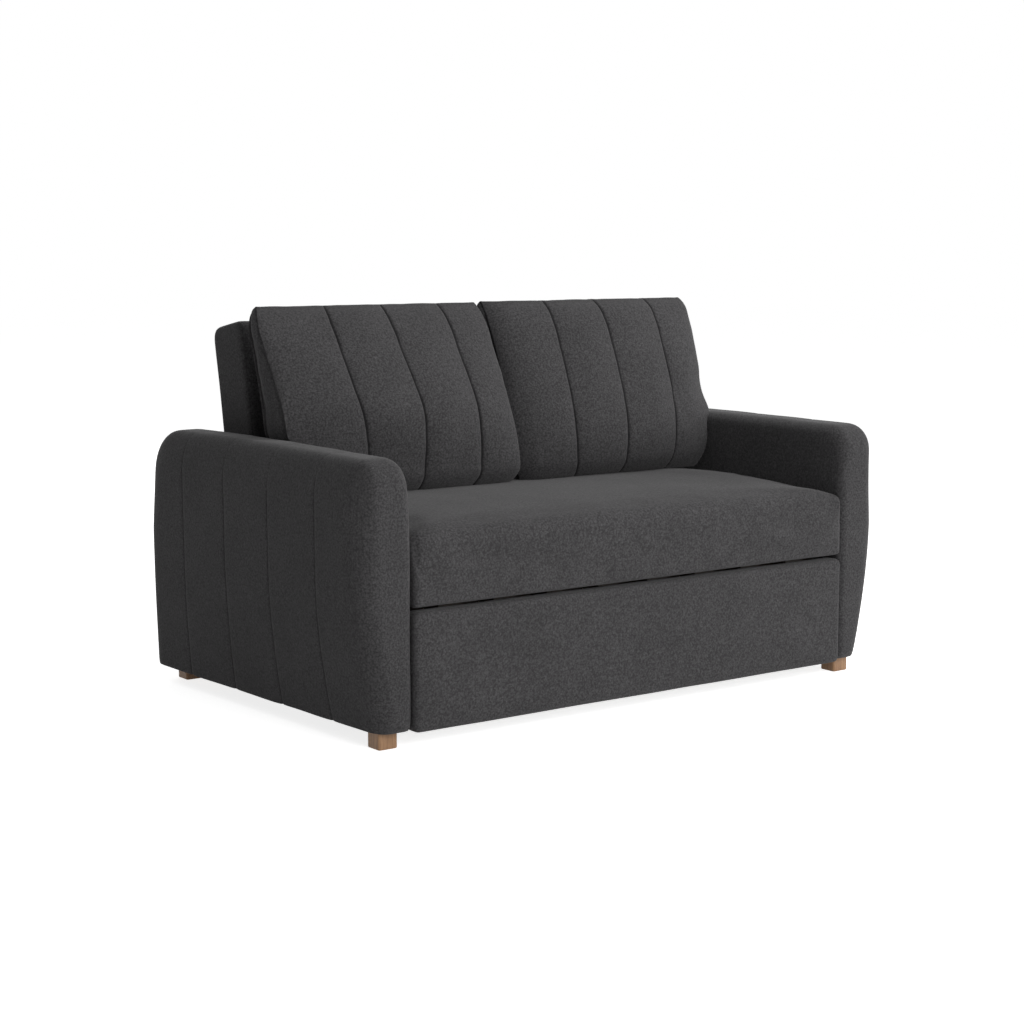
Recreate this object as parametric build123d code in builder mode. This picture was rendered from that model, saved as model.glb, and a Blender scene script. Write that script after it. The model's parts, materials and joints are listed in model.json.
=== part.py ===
from build123d import *

import os
from math import cos, hypot, radians, sin, sqrt, tan

# A two-seat sofa bed with padded, channelled arms. X runs across the seat, Y from front to
# back and Z up. The origin is on the floor, under the middle of the whole sofa.
# All lengths are in millimetres and all angles in degrees.

# Driving sizes of the sofa
seat_width = 1222
depth = 950
foot_height = 37
arm_height = 600
seat_height = 462
back_length = 455
sofa_height = 890
pull_travel = 520
back_lean = 10
back_travel = 80

# Clearances
slide_gap = 0.3
soft_gap = 0.5
fit_gap = 0.1
overrun = 20
pick_margin = 5

front = -depth / 2
rear = depth / 2
inner_face = seat_width / 2

# Arms: a padded cover over foam over a narrow timber frame
arm_width = 120
arm_base_width = 75
arm_rear_base_width = 117
arm_draw_height = 390
arm_crown = 16
arm_front_shoulder_radius = 60
arm_rear_shoulder_radius = 105
arm_outer_radius = 40
arm_inner_radius = 32
arm_cover_thickness = 12
channel_pitch = 198
channel_first = 158
channel_count = 4
channel_groove = 5
channel_groove_width = 5
channel_valley = 1.8
channel_valley_width = 15

# Timber frame inside each arm
frame_inset = 20
frame_end_inset = 32
frame_width = 36
frame_top_drop = 88
arm_panel_thickness = 3
bottom_rail_height = 70
top_rail_height = 60
front_post_width = 120
hinge_post_width = 90
rear_post_width = 60

# Feet
foot_size = 46
foot_corner = 6
foot_lower_radius = 9
foot_bolt_radius = 4
foot_bolt_depth = 22
foot_bolt_length = 62

# Slatted deck: fixed slats with sliding slats between them
slat_drop = 172
slat_width = 56
slat_thickness = 18
fixed_slat_count = 9
deck_width = 1180
slat_pad_thickness = 3
beam_thickness = 30
beam_height_share = 0.35345
front_beam_setback = 75
slat_screw_radius = 2.2
slat_screw_head = 4.5
slat_screw_head_height = 2.5
slat_screw_length = 34

# Steel shelf angles that carry the beams
bracket_thickness = 3
bracket_length = 48
bracket_drop_share = 0.644
bolt_radius = 4
bolt_head_radius = 7
bolt_head_height = 5
bolt_length = 48
bracket_screw_radius = 2.5
bracket_screw_length = 26
bracket_screw_head = 5
bracket_screw_head_height = 2.4

# Sliding front
panel_setback = 4
panel_side_gap = 4
panel_top_drop = 9
panel_pad = 14
panel_edge_pad = 8
panel_back_skin = 3
panel_board_thickness = 18
panel_radius = 9
cleat_depth = 24
cleat_height = 26
tie_bar_depth = 30
tie_bar_height = 30
tie_bar_end = 10
tie_bar_rear_gap = 11
side_rail_thickness = 22
side_rail_height_share = 0.5525
side_rail_end_gap = 70
rail_side_gap = 3
cross_rail_thickness = 22

# Steel runners on the arms
runner_thickness = 3
runner_shelf = 28
runner_height = 40
runner_start = 190
runner_end_gap = 60
runner_screw_shares = (0.08, 0.5, 0.92)

# Castors
castor_setback = 150
wheel_radius = 25
wheel_width = 13
wheel_groove = 1.2
wheel_groove_width = 5
wheel_edge = 1.5
axle_radius = 4
axle_head_radius = 6.5
axle_head = 2
fork_thickness = 2.5
fork_length = 46
fork_eye_radius = 9
castor_screw_radius = 2
castor_screw_length = 16
castor_screw_spacing = 34

# Rear panel
rear_board_thickness = 18
rear_cover_skin = 4
rear_panel_radius = 3
rear_cleat = 30
rear_cleat_share = 0.7

# Backrest
back_thickness = 140
back_side_gap = 6.5
back_top_radius = 38
back_edge_radius = 14
back_cover_thickness = 10
back_seat_gap = 3
back_room = 326
back_frame_thickness = 40
back_frame_offset = 5
back_frame_side = 14.5
back_stile_width = 45
back_stile_drop = 35
back_frame_head = 30
back_rail_height = 60
webbing_thickness = 2
webbing_width = 50
webbing_shares = (0.26, 0.44, 0.62)

# Slotted hinge of the backrest
pivot_drop = 12
plate_thickness = 3
pivot_pin_radius = 6
pivot_pin_clearance = 0.3
pivot_pin_inner = 44
pivot_pin_outer = 40
hinge_disc_radius = 54
hinge_tab_width = 60
hinge_tab_drop = 104
hinge_tab_corner = 10
hinge_bolt_side = 26
hinge_bolt_rise = 30
hinge_bolt_low = 88
stop_pin_radius = 4
stop_circle_radius = 40
stop_pin_angle = 130
slot_clearance = 0.4
lever_disc_radius = 50
lever_width = 40
lever_length = 195
lever_bolt_shares = (0.5, 0.86)
lever_bolt_length = 34
drum_radius = 24

# Seat cushion
cushion_setback = 5
cushion_side_gap = 5
cushion_crown = 13
cushion_front_top_radius = 38
cushion_front_low_radius = 16
cushion_rear_top_radius = 22
cushion_rear_low_radius = 8
cushion_end_radius = 13
cushion_cover_thickness = 6

# Loose back cushions
pillow_gap = 2
pillow_side_gap = 3
pillow_back_gap = 6
pillow_thickness = 240
pillow_channel_bulge = 11
pillow_cover_thickness = 7
pillow_channel_count = 4

# Rows from the foot of a cushion to its head: height, forward reach at the middle and at the
# sides, the sides' rear edge, the middle's rear edge, width
pillow_shares = (
    (0.000, 0.780, 0.660, 0.320, 0.020, 0.965),
    (0.066, 0.933, 0.750, 0.340, 0.000, 0.998),
    (0.307, 0.975, 0.746, 0.346, 0.000, 0.990),
    (0.596, 0.838, 0.608, 0.283, 0.000, 0.990),
    (0.883, 0.625, 0.475, 0.225, 0.020, 0.998),
    (0.962, 0.500, 0.400, 0.233, 0.100, 0.985),
    (1.000, 0.330, 0.310, 0.240, 0.210, 0.945),
)

# Places that several pieces share
outer_face = inner_face + arm_width
frame_inner = inner_face + frame_inset
frame_outer = frame_inner + frame_width
frame_middle = (frame_inner + frame_outer) / 2
frame_top = arm_height - frame_top_drop
frame_front = front + frame_end_inset
frame_rear = rear - frame_end_inset
slat_top = seat_height - slat_drop
slat_bottom = slat_top - slat_thickness
beam_top = slat_bottom - slat_pad_thickness
beam_bottom = beam_top - beam_height_share * (beam_top - foot_height)
panel_top = slat_top - panel_top_drop
sliding_slat_bottom = beam_top + slide_gap
front_beam_y = front + front_beam_setback
tie_bar_y = front_beam_y + beam_thickness + pull_travel + slide_gap
rear_beam_y = tie_bar_y + tie_bar_depth + tie_bar_rear_gap
cushion_edge_height = seat_height - cushion_crown
pivot_radius = back_thickness / 2
pivot_y = rear - back_room + pivot_radius
pivot_z = seat_height - pivot_drop - pivot_radius
back_half_width = inner_face - back_side_gap
slat_pitch = (deck_width - slat_width) / (fixed_slat_count - 1)
panel_back = front + panel_setback + panel_pad + panel_board_thickness + panel_back_skin
panel_half_width = inner_face - panel_side_gap
rail_bottom = foot_height + frame_inset + runner_thickness + slide_gap
side_rail_height = side_rail_height_share * (beam_bottom - rail_bottom)
runner_low = rail_bottom - slide_gap - runner_thickness
bracket_drop = bracket_drop_share * (beam_bottom - runner_low - runner_height)
rail_outer = inner_face - runner_thickness - rail_side_gap
rail_inner = rail_outer - side_rail_thickness
rail_end = rear - side_rail_end_gap
castor_y = front + castor_setback
castor_x = (rail_inner + rail_outer) / 2
hinge_post = (pivot_y - hinge_post_width / 2, pivot_y + hinge_post_width / 2)
rear_board_y = rear - rear_cover_skin - rear_board_thickness
rear_inside_y = rear_board_y - rear_cover_skin
fixed_slat_places = [-deck_width / 2 + slat_width / 2 + k * slat_pitch for k in range(fixed_slat_count)]
sliding_slat_places = [x + slat_pitch / 2 for x in fixed_slat_places[:-1]]
channel_places = [front + channel_first + k * channel_pitch for k in range(channel_count)]
runner_front = front + runner_start
runner_rear = rear - runner_end_gap
runner_screw_z = rail_bottom + runner_height / 2
bracket_bolt_z = beam_bottom - bracket_drop * 2 / 3

# Every fixing that enters an arm from the seat's side: front-to-back place, height
beam_middles = (front_beam_y + beam_thickness / 2, rear_beam_y + beam_thickness / 2)
bracket_bolts = [(y, bracket_bolt_z) for y in beam_middles]
cleat_bolt_y = rear_inside_y - rear_cleat / 2
rear_middle_z = (foot_height + panel_top) / 2
cleat_half = (panel_top - foot_height) * rear_cleat_share / 2
cleat_bolts = [(cleat_bolt_y, rear_middle_z + side * cleat_half / 2) for side in (-1, 1)]
hinge_bolts = [
    (pivot_y - hinge_bolt_side, pivot_z + hinge_bolt_rise),
    (pivot_y + hinge_bolt_side, pivot_z + hinge_bolt_rise),
    (pivot_y, pivot_z - hinge_bolt_low),
]
runner_screws = [
    (runner_front + share * (runner_rear - runner_front), runner_screw_z) for share in runner_screw_shares
]
arm_fixings = bracket_bolts + cleat_bolts + hinge_bolts + runner_screws

os.makedirs("parts", exist_ok=True)
pieces = {}


def keep(name, shape):
    """Label a finished piece and write its file."""
    shape.label = name
    export_step(shape, os.path.join("parts", name + ".step"))
    pieces[name] = shape


def keep_pair(name, right):
    """Keep the right-hand piece and its mirror image on the left."""
    keep("right_" + name, right)
    keep("left_" + name, mirror(right, about=Plane.YZ))


def block(x, y, z, mode=Mode.ADD):
    """A box between two values along each axis, in the part that is being built."""
    with Locations(((x[0] + x[1]) / 2, (y[0] + y[1]) / 2, (z[0] + z[1]) / 2)):
        Box(x[1] - x[0], y[1] - y[0], z[1] - z[0], mode=mode)


def rod(x, y, z, radius, mode=Mode.ADD):
    """A round bar along X between two values, in the part that is being built."""
    with Locations(Location(((x[0] + x[1]) / 2, y, z), (0, 90, 0))):
        Cylinder(radius, x[1] - x[0], mode=mode)


def post(x, y, z, radius, mode=Mode.ADD):
    """An upright round bar between two heights, in the part that is being built."""
    with Locations((x, y, (z[0] + z[1]) / 2)):
        Cylinder(radius, z[1] - z[0], mode=mode)


def arm_form(inset):
    """The right arm's outside, or the same form drawn in by an inset."""
    inner = inner_face + inset
    outer = outer_face - inset
    front_base = inner_face + arm_base_width - inset
    rear_base = inner_face + arm_rear_base_width - inset
    shoulder = arm_height - arm_crown - inset
    with BuildPart() as form:
        # The arm from the side: upright ends, rounded shoulders and a crowned top
        with BuildSketch(Plane.YZ.offset(inner)) as side:
            with BuildLine():
                Polyline(
                    (rear - inset, shoulder),
                    (rear - inset, foot_height),
                    (front + inset, foot_height),
                    (front + inset, shoulder),
                )
                ThreePointArc((front + inset, shoulder), (0, arm_height - inset), (rear - inset, shoulder))
            make_face()
            front_corner = side.vertices().group_by(Axis.X)[0].sort_by(Axis.Y)[-1]
            fillet(front_corner, arm_front_shoulder_radius - inset)
            rear_corner = side.vertices().group_by(Axis.X)[-1].sort_by(Axis.Y)[-1]
            fillet(rear_corner, arm_rear_shoulder_radius - inset)
        extrude(amount=outer - inner)
        # The arm from the front: the outer side is drawn in towards the floor, most at the front
        for y, base in ((front - overrun, front_base), (rear + overrun, rear_base)):
            with BuildSketch(Plane.XZ.offset(-y)):
                with BuildLine():
                    TangentArc((outer, arm_draw_height), (base, foot_height), tangent=(0, -1))
                    Polyline(
                        (base, foot_height),
                        (inner, foot_height),
                        (inner, arm_height + overrun),
                        (outer, arm_height + overrun),
                        (outer, arm_draw_height),
                    )
                make_face()
        loft(ruled=True, mode=Mode.INTERSECT)
        threshold = (front_base + outer) / 2
        above = form.edges().filter_by(lambda e: e.center().Z > foot_height + pick_margin)
        outside = above.filter_by(lambda e: e.center().X > threshold)
        fillet(
            outside.filter_by(lambda e: abs(e.center().Z - arm_draw_height) > pick_margin),
            arm_outer_radius - inset,
        )
        above = form.edges().filter_by(lambda e: e.center().Z > foot_height + pick_margin)
        fillet(above.filter_by(lambda e: e.center().X < inner + pick_margin), arm_inner_radius - inset)
    return form.part


def channel_cut(width, depth_of_cut):
    """Rings of a width and depth round the arm, at each of its seams."""
    with BuildPart() as rings:
        for seam in channel_places:
            block(
                (inner_face + arm_inner_radius, outer_face + overrun),
                (seam - width / 2, seam + width / 2),
                (foot_height - overrun, arm_height + overrun),
            )
        add(arm_form(depth_of_cut), mode=Mode.SUBTRACT)
    return rings.part


def drill_arm(x):
    """Holes for the fixings and the hinge pin, in the arm piece that is being built."""
    for y, z in arm_fixings:
        rod(x, y, z, bolt_radius + fit_gap, mode=Mode.SUBTRACT)
    rod(x, pivot_y, pivot_z, pivot_pin_radius + fit_gap, mode=Mode.SUBTRACT)


arm_core_form = arm_form(arm_cover_thickness)

# Cover of the right arm, with its channel seams from the floor edge up and over the top
with BuildPart() as arm_cover:
    add(arm_form(0))
    add(channel_cut(channel_valley_width, channel_valley), mode=Mode.SUBTRACT)
    add(channel_cut(channel_groove_width, channel_groove), mode=Mode.SUBTRACT)
    add(arm_core_form, mode=Mode.SUBTRACT)
    drill_arm((inner_face - overrun, inner_face + frame_inset))
keep_pair("arm_cover", arm_cover.part)

# Foam of the right arm, with a pocket for the timber frame
with BuildPart() as arm_foam:
    add(arm_core_form)
    block(
        (frame_inner, frame_outer),
        (frame_front, frame_rear),
        (foot_height, frame_top),
        mode=Mode.SUBTRACT,
    )
    drill_arm((inner_face, frame_inner + overrun))
keep_pair("arm_foam", arm_foam.part)

# Timber of the right arm's frame, and the hardboard that closes its two sides
timber_x = (frame_inner + arm_panel_thickness, frame_outer - arm_panel_thickness)
bottom_rail_top = foot_height + bottom_rail_height
top_rail_bottom = frame_top - top_rail_height

with BuildPart() as arm_frame:
    post_height = (bottom_rail_top, top_rail_bottom)
    block(timber_x, (frame_front, frame_rear), (foot_height, bottom_rail_top))
    block(timber_x, (frame_front, frame_rear), (top_rail_bottom, frame_top))
    for post_y in (
        (frame_front, frame_front + front_post_width),
        hinge_post,
        (frame_rear - rear_post_width, frame_rear),
    ):
        block(timber_x, post_y, post_height)
    drill_arm((frame_inner, inner_face + bolt_length))
    for y in (frame_front + foot_size / 2, frame_rear - foot_size / 2):
        bolt_top = foot_height - foot_bolt_depth + foot_bolt_length
        post(frame_middle, y, (0, bolt_top), foot_bolt_radius + fit_gap, mode=Mode.SUBTRACT)
keep_pair("arm_frame", arm_frame.part)

with BuildPart() as arm_panels:
    for side in (-1, 1):
        for x in ((frame_inner, timber_x[0]), (timber_x[1], frame_outer)):
            block(sorted((side * x[0], side * x[1])), (frame_front, frame_rear), (foot_height, frame_top))
        panel_reach = sorted((side * (frame_inner - overrun), side * (frame_inner + overrun)))
        drill_arm(panel_reach)
keep("arm_panels", arm_panels.part)

# Feet: small timber blocks, rounded where they meet the floor
foot_places = {
    "front": frame_front + foot_size / 2,
    "rear": frame_rear - foot_size / 2,
}
for place, foot_y in foot_places.items():
    with BuildPart() as foot:
        with BuildSketch():
            with Locations((frame_middle, foot_y)):
                RectangleRounded(foot_size, foot_size, foot_corner)
        extrude(amount=foot_height)
        fillet(foot.faces().sort_by(Axis.Z)[0].edges(), foot_lower_radius - foot_corner)
        post(
            frame_middle,
            foot_y,
            (foot_height - foot_bolt_depth, foot_height + overrun),
            foot_bolt_radius + fit_gap,
            mode=Mode.SUBTRACT,
        )
    keep_pair(place + "_foot", foot.part)

with BuildPart() as foot_bolts:
    for x in (-frame_middle, frame_middle):
        for foot_y in foot_places.values():
            foot_bolt_bottom = foot_height - foot_bolt_depth
            post(x, foot_y, (foot_bolt_bottom, foot_bolt_bottom + foot_bolt_length), foot_bolt_radius)
keep("foot_bolts", foot_bolts.part)


def slat_screw_holes(places, ys, z):
    """Straight holes for slat screws, with room for their heads, in the part being built."""
    for x in places:
        for y in ys:
            post(x, y, (z[0], z[1]), slat_screw_radius + fit_gap, mode=Mode.SUBTRACT)
            post(
                x,
                y,
                (z[1] - slat_screw_head_height, z[1]),
                slat_screw_head + fit_gap,
                mode=Mode.SUBTRACT,
            )


def slat_screws(places, ys, top):
    """Screws with flat heads, let in flush with the slats."""
    with BuildPart() as screws:
        for x in places:
            for y in ys:
                post(x, y, (top - slat_screw_length, top - slat_screw_head_height), slat_screw_radius)
                post(x, y, (top - slat_screw_head_height, top), slat_screw_head)
    return screws.part


def cross_beam(y):
    """A timber beam from arm to arm, drilled for the slats above it and the brackets below."""
    with BuildPart() as beam:
        block(
            (-inner_face, inner_face),
            (y - beam_thickness / 2, y + beam_thickness / 2),
            (beam_bottom, beam_top),
        )
        slat_screw_holes(fixed_slat_places, (y,), (slat_top - slat_screw_length, slat_top))
        for side in (-1, 1):
            post(
                side * (inner_face - bracket_length / 2),
                y,
                (beam_bottom - overrun, beam_bottom + bracket_screw_length),
                bracket_screw_radius + fit_gap,
                mode=Mode.SUBTRACT,
            )
    return beam.part


keep("front_beam", cross_beam(beam_middles[0]))
keep("rear_beam", cross_beam(beam_middles[1]))

# Pads under the ends of the fixed slats lift them clear of the sliding tie bar
with BuildPart() as slat_pads:
    for x in fixed_slat_places:
        for y in beam_middles:
            block(
                (x - slat_width / 2, x + slat_width / 2),
                (y - beam_thickness / 2, y + beam_thickness / 2),
                (beam_top, slat_bottom),
            )
    slat_screw_holes(fixed_slat_places, beam_middles, (beam_top - overrun, slat_top))
keep("slat_pads", slat_pads.part)

with BuildPart() as fixed_slats:
    for x in fixed_slat_places:
        block(
            (x - slat_width / 2, x + slat_width / 2),
            (front_beam_y, rear_beam_y + beam_thickness),
            (slat_bottom, slat_top),
        )
    slat_screw_holes(fixed_slat_places, beam_middles, (slat_bottom - overrun, slat_top))
keep("fixed_slats", fixed_slats.part)
keep("fixed_slat_screws", slat_screws(fixed_slat_places, beam_middles, slat_top))

# Shelf angles under the ends of both beams
bracket_top = beam_bottom
with BuildPart() as beam_brackets:
    for side in (-1, 1):
        for y in beam_middles:
            wall = sorted((side * inner_face, side * (inner_face - bracket_thickness)))
            shelf = sorted((side * inner_face, side * (inner_face - bracket_length)))
            across_y = (y - beam_thickness / 2, y + beam_thickness / 2)
            block(wall, across_y, (bracket_top - bracket_drop, bracket_top))
            block(shelf, across_y, (bracket_top - bracket_thickness, bracket_top))
            rod(
                sorted((side * (inner_face - bracket_length / 3), side * (inner_face + overrun))),
                y,
                bracket_bolt_z,
                bolt_radius + fit_gap,
                mode=Mode.SUBTRACT,
            )
            post(
                side * (inner_face - bracket_length / 2),
                y,
                (bracket_top - overrun, bracket_top + overrun),
                bracket_screw_radius + fit_gap,
                mode=Mode.SUBTRACT,
            )
keep("beam_brackets", beam_brackets.part)

with BuildPart() as bracket_screws:
    for side in (-1, 1):
        for y in beam_middles:
            x = side * (inner_face - bracket_length / 2)
            screw_low = bracket_top - bracket_thickness
            post(x, y, (screw_low, bracket_top + bracket_screw_length), bracket_screw_radius)
            post(x, y, (screw_low - bracket_screw_head_height, screw_low), bracket_screw_head)
keep("bracket_screws", bracket_screws.part)

# Bolts that enter the arms: the face that each head lies on, and the height of its head
bolt_rows = (
    (bracket_bolts, bracket_thickness, bolt_head_height),
    (cleat_bolts, rear_cleat, bolt_head_height),
    (runner_screws, runner_thickness, rail_side_gap - slide_gap),
)
with BuildPart() as arm_bolts:
    for side in (-1, 1):
        for places, seat, head_height in bolt_rows:
            face = inner_face - seat
            for y, z in places:
                rod(sorted((side * face, side * (inner_face + bolt_length))), y, z, bolt_radius)
                rod(sorted((side * (face - head_height), side * face)), y, z, bolt_head_radius)
keep("arm_bolts", arm_bolts.part)

# Runner: a steel angle on the arm that the sliding rail rests on
with BuildPart() as runner:
    with BuildSketch(Plane.XZ.offset(-runner_front)):
        with BuildLine():
            Polyline(
                (inner_face, runner_low),
                (inner_face - runner_shelf, runner_low),
                (inner_face - runner_shelf, runner_low + runner_thickness),
                (inner_face - runner_thickness, runner_low + runner_thickness),
                (inner_face - runner_thickness, runner_low + runner_height),
                (inner_face, runner_low + runner_height),
                (inner_face, runner_low),
            )
        make_face()
    extrude(amount=runner_front - runner_rear)
    for y, z in runner_screws:
        rod(
            (inner_face - runner_shelf / 2, inner_face + overrun),
            y,
            z,
            bolt_radius + fit_gap,
            mode=Mode.SUBTRACT,
        )
keep_pair("runner", runner.part)

# Rear panel: a board in a thin cover, held to the arms by timber cleats
board_half = panel_half_width - panel_edge_pad
board_z = (foot_height + panel_edge_pad, panel_top - panel_edge_pad)


def covered_board(near, skin_near, thickness, skin_far, radius):
    """A cover around a board, with the board's space taken out of it."""
    far = near + skin_near + thickness + skin_far
    with BuildPart() as cover:
        block((-panel_half_width, panel_half_width), (near, far), (foot_height, panel_top))
        fillet(cover.edges().filter_by(Axis.Y), panel_radius)
        fillet(cover.faces().sort_by(Axis.Y)[0].edges(), radius)
        block(
            (-board_half, board_half),
            (near + skin_near, near + skin_near + thickness),
            board_z,
            mode=Mode.SUBTRACT,
        )
    return cover.part


keep(
    "rear_panel_cover",
    covered_board(
        rear_inside_y,
        rear_cover_skin,
        rear_board_thickness,
        rear_cover_skin,
        rear_panel_radius,
    ),
)
with BuildPart() as rear_board:
    block((-board_half, board_half), (rear_board_y, rear_board_y + rear_board_thickness), board_z)
keep("rear_panel_board", rear_board.part)

with BuildPart() as rear_cleats:
    for side in (-1, 1):
        block(
            sorted((side * (inner_face - rear_cleat), side * inner_face)),
            (rear_inside_y - rear_cleat, rear_inside_y),
            (rear_middle_z - cleat_half, rear_middle_z + cleat_half),
        )
        for y, z in cleat_bolts:
            rod(
                sorted((side * (inner_face - rear_cleat - overrun), side * (inner_face + overrun))),
                y,
                z,
                bolt_radius + fit_gap,
                mode=Mode.SUBTRACT,
            )
keep("rear_cleats", rear_cleats.part)

# Sliding front: the padded panel and everything that rides out with it
keep(
    "front_panel_cover",
    covered_board(
        front + panel_setback,
        panel_pad,
        panel_board_thickness,
        panel_back_skin,
        panel_radius,
    ),
)
board_y = front + panel_setback + panel_pad
with BuildPart() as front_board:
    block((-board_half, board_half), (board_y, board_y + panel_board_thickness), board_z)
keep("front_panel_board", front_board.part)

bar_half = sliding_slat_places[-1] + slat_width / 2 + tie_bar_end
sliding_slat_top = sliding_slat_bottom + slat_thickness
cleat_middle = panel_back + cleat_depth / 2
tie_bar_middle = tie_bar_y + tie_bar_depth / 2
sliding_screw_ys = (cleat_middle, tie_bar_middle)
sliding_screw_z = (sliding_slat_top - slat_screw_length, sliding_slat_top)

with BuildPart() as slat_cleat:
    block(
        (-bar_half, bar_half),
        (panel_back, panel_back + cleat_depth),
        (sliding_slat_bottom - cleat_height, sliding_slat_bottom),
    )
    slat_screw_holes(sliding_slat_places, sliding_screw_ys[:1], sliding_screw_z)
keep("front_cleat", slat_cleat.part)

with BuildPart() as tie_bar:
    block(
        (-bar_half, bar_half),
        (tie_bar_y, tie_bar_y + tie_bar_depth),
        (sliding_slat_bottom - tie_bar_height, sliding_slat_bottom),
    )
    slat_screw_holes(sliding_slat_places, sliding_screw_ys[1:], sliding_screw_z)
keep("tie_bar", tie_bar.part)

with BuildPart() as sliding_slats:
    for x in sliding_slat_places:
        block(
            (x - slat_width / 2, x + slat_width / 2),
            (panel_back, tie_bar_y + tie_bar_depth),
            (sliding_slat_bottom, sliding_slat_top),
        )
    slat_screw_holes(
        sliding_slat_places,
        sliding_screw_ys,
        (sliding_slat_bottom - overrun, sliding_slat_top),
    )
keep("sliding_slats", sliding_slats.part)
keep("sliding_slat_screws", slat_screws(sliding_slat_places, sliding_screw_ys, sliding_slat_top))

with BuildPart() as side_rail:
    block((rail_inner, rail_outer), (panel_back, rail_end), (rail_bottom, rail_bottom + side_rail_height))
    for side in (-1, 1):
        post(
            castor_x,
            castor_y + side * castor_screw_spacing / 2,
            (rail_bottom, rail_bottom + castor_screw_length),
            castor_screw_radius + fit_gap,
            mode=Mode.SUBTRACT,
        )
keep_pair("side_rail", side_rail.part)

with BuildPart() as cross_rail:
    block(
        (-rail_inner, rail_inner),
        (rail_end - cross_rail_thickness, rail_end),
        (rail_bottom, rail_bottom + side_rail_height),
    )
keep("cross_rail", cross_rail.part)

# Castors: a steel fork under each rail, with a wheel on a riveted axle
fork_top = rail_bottom
with BuildPart() as fork:
    block(
        (rail_inner, rail_outer),
        (castor_y - fork_length / 2, castor_y + fork_length / 2),
        (fork_top - fork_thickness, fork_top),
    )
    for cheek in (rail_inner, rail_outer - fork_thickness):
        with BuildSketch(Plane.YZ.offset(cheek)):
            with BuildLine():
                Line((castor_y - fork_eye_radius, wheel_radius), (castor_y - fork_length / 2, fork_top))
                Line((castor_y - fork_length / 2, fork_top), (castor_y + fork_length / 2, fork_top))
                Line((castor_y + fork_length / 2, fork_top), (castor_y + fork_eye_radius, wheel_radius))
                ThreePointArc(
                    (castor_y + fork_eye_radius, wheel_radius),
                    (castor_y, wheel_radius - fork_eye_radius),
                    (castor_y - fork_eye_radius, wheel_radius),
                )
            make_face()
        extrude(amount=fork_thickness)
    rod(
        (rail_inner - overrun, rail_outer + overrun),
        castor_y,
        wheel_radius,
        axle_radius,
        mode=Mode.SUBTRACT,
    )
    for side in (-1, 1):
        post(
            castor_x,
            castor_y + side * castor_screw_spacing / 2,
            (fork_top - overrun, fork_top + overrun),
            castor_screw_radius + fit_gap,
            mode=Mode.SUBTRACT,
        )
keep_pair("castor_fork", fork.part)

with BuildPart() as castor_axles:
    for side in (-1, 1):
        rod(sorted((side * rail_inner, side * rail_outer)), castor_y, wheel_radius, axle_radius)
        for head in ((rail_inner - axle_head, rail_inner), (rail_outer, rail_outer + axle_head)):
            rod(sorted((side * head[0], side * head[1])), castor_y, wheel_radius, axle_head_radius)
keep("castor_axles", castor_axles.part)

with BuildPart() as castor_screws:
    for side in (-1, 1):
        for end in (-1, 1):
            y = castor_y + end * castor_screw_spacing / 2
            post(
                side * castor_x,
                y,
                (fork_top - fork_thickness, fork_top + castor_screw_length),
                castor_screw_radius,
            )
keep("castor_screws", castor_screws.part)

with BuildPart() as wheel:
    rod(
        (castor_x - wheel_width / 2, castor_x + wheel_width / 2),
        castor_y,
        wheel_radius,
        wheel_radius,
    )
    fillet(wheel.edges().filter_by(GeomType.CIRCLE), wheel_edge)
    for side in (-1, 1):
        edge = castor_x + side * wheel_width / 2
        rod(
            sorted((edge, edge - side * wheel_groove)),
            castor_y,
            wheel_radius,
            wheel_radius - wheel_groove_width,
            mode=Mode.SUBTRACT,
        )
    rod(
        (castor_x - wheel_width, castor_x + wheel_width),
        castor_y,
        wheel_radius,
        axle_radius + slide_gap,
        mode=Mode.SUBTRACT,
    )
keep_pair("wheel", wheel.part)


def back_side_plane(x):
    """The plane square to X at the hinge: its X runs rearwards and its Y up along the backrest."""
    return Plane(
        origin=(x, pivot_y, pivot_z),
        x_dir=(0, cos(radians(back_lean)), -sin(radians(back_lean))),
        z_dir=(1, 0, 0),
    )


def back_form(inset):
    """The leaning backrest's outside, or the same form drawn in by an inset."""
    half = pivot_radius - inset
    half_width = back_half_width - inset
    head = back_length - inset
    with BuildPart() as form:
        with BuildSketch(back_side_plane(-half_width)) as outline:
            with BuildLine():
                Polyline((half, 0), (half, head), (-half, head), (-half, 0))
                ThreePointArc((-half, 0), (0, -half), (half, 0))
            make_face()
            fillet(outline.vertices().group_by(Axis.Y)[-1], back_top_radius - inset)
        extrude(amount=2 * half_width)
        for end in (0, -1):
            fillet(form.faces().sort_by(Axis.X)[end].edges(), back_edge_radius - inset)
    return form.part


def back_point(out, up):
    """A place on the backrest's side plane, as front-to-back and height."""
    lean = radians(back_lean)
    return (pivot_y + out * cos(lean) + up * sin(lean), pivot_z - out * sin(lean) + up * cos(lean))


def back_block(x, out, up, mode=Mode.ADD):
    """A box that leans with the backrest, in the part that is being built."""
    with BuildSketch(back_side_plane(x[0])) as face:
        with Locations(((out[0] + out[1]) / 2, (up[0] + up[1]) / 2)):
            Rectangle(out[1] - out[0], up[1] - up[0])
    add(extrude(face.sketch, amount=x[1] - x[0], mode=Mode.PRIVATE), mode=mode)


frame_out = (back_frame_offset - back_frame_thickness / 2, back_frame_offset + back_frame_thickness / 2)
frame_up = (-back_stile_drop, back_length - back_frame_head)
frame_half = back_half_width - back_frame_side
lever_bolts = [back_point(back_frame_offset, share * lever_length) for share in lever_bolt_shares]
back_core_form = back_form(back_cover_thickness)


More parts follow.
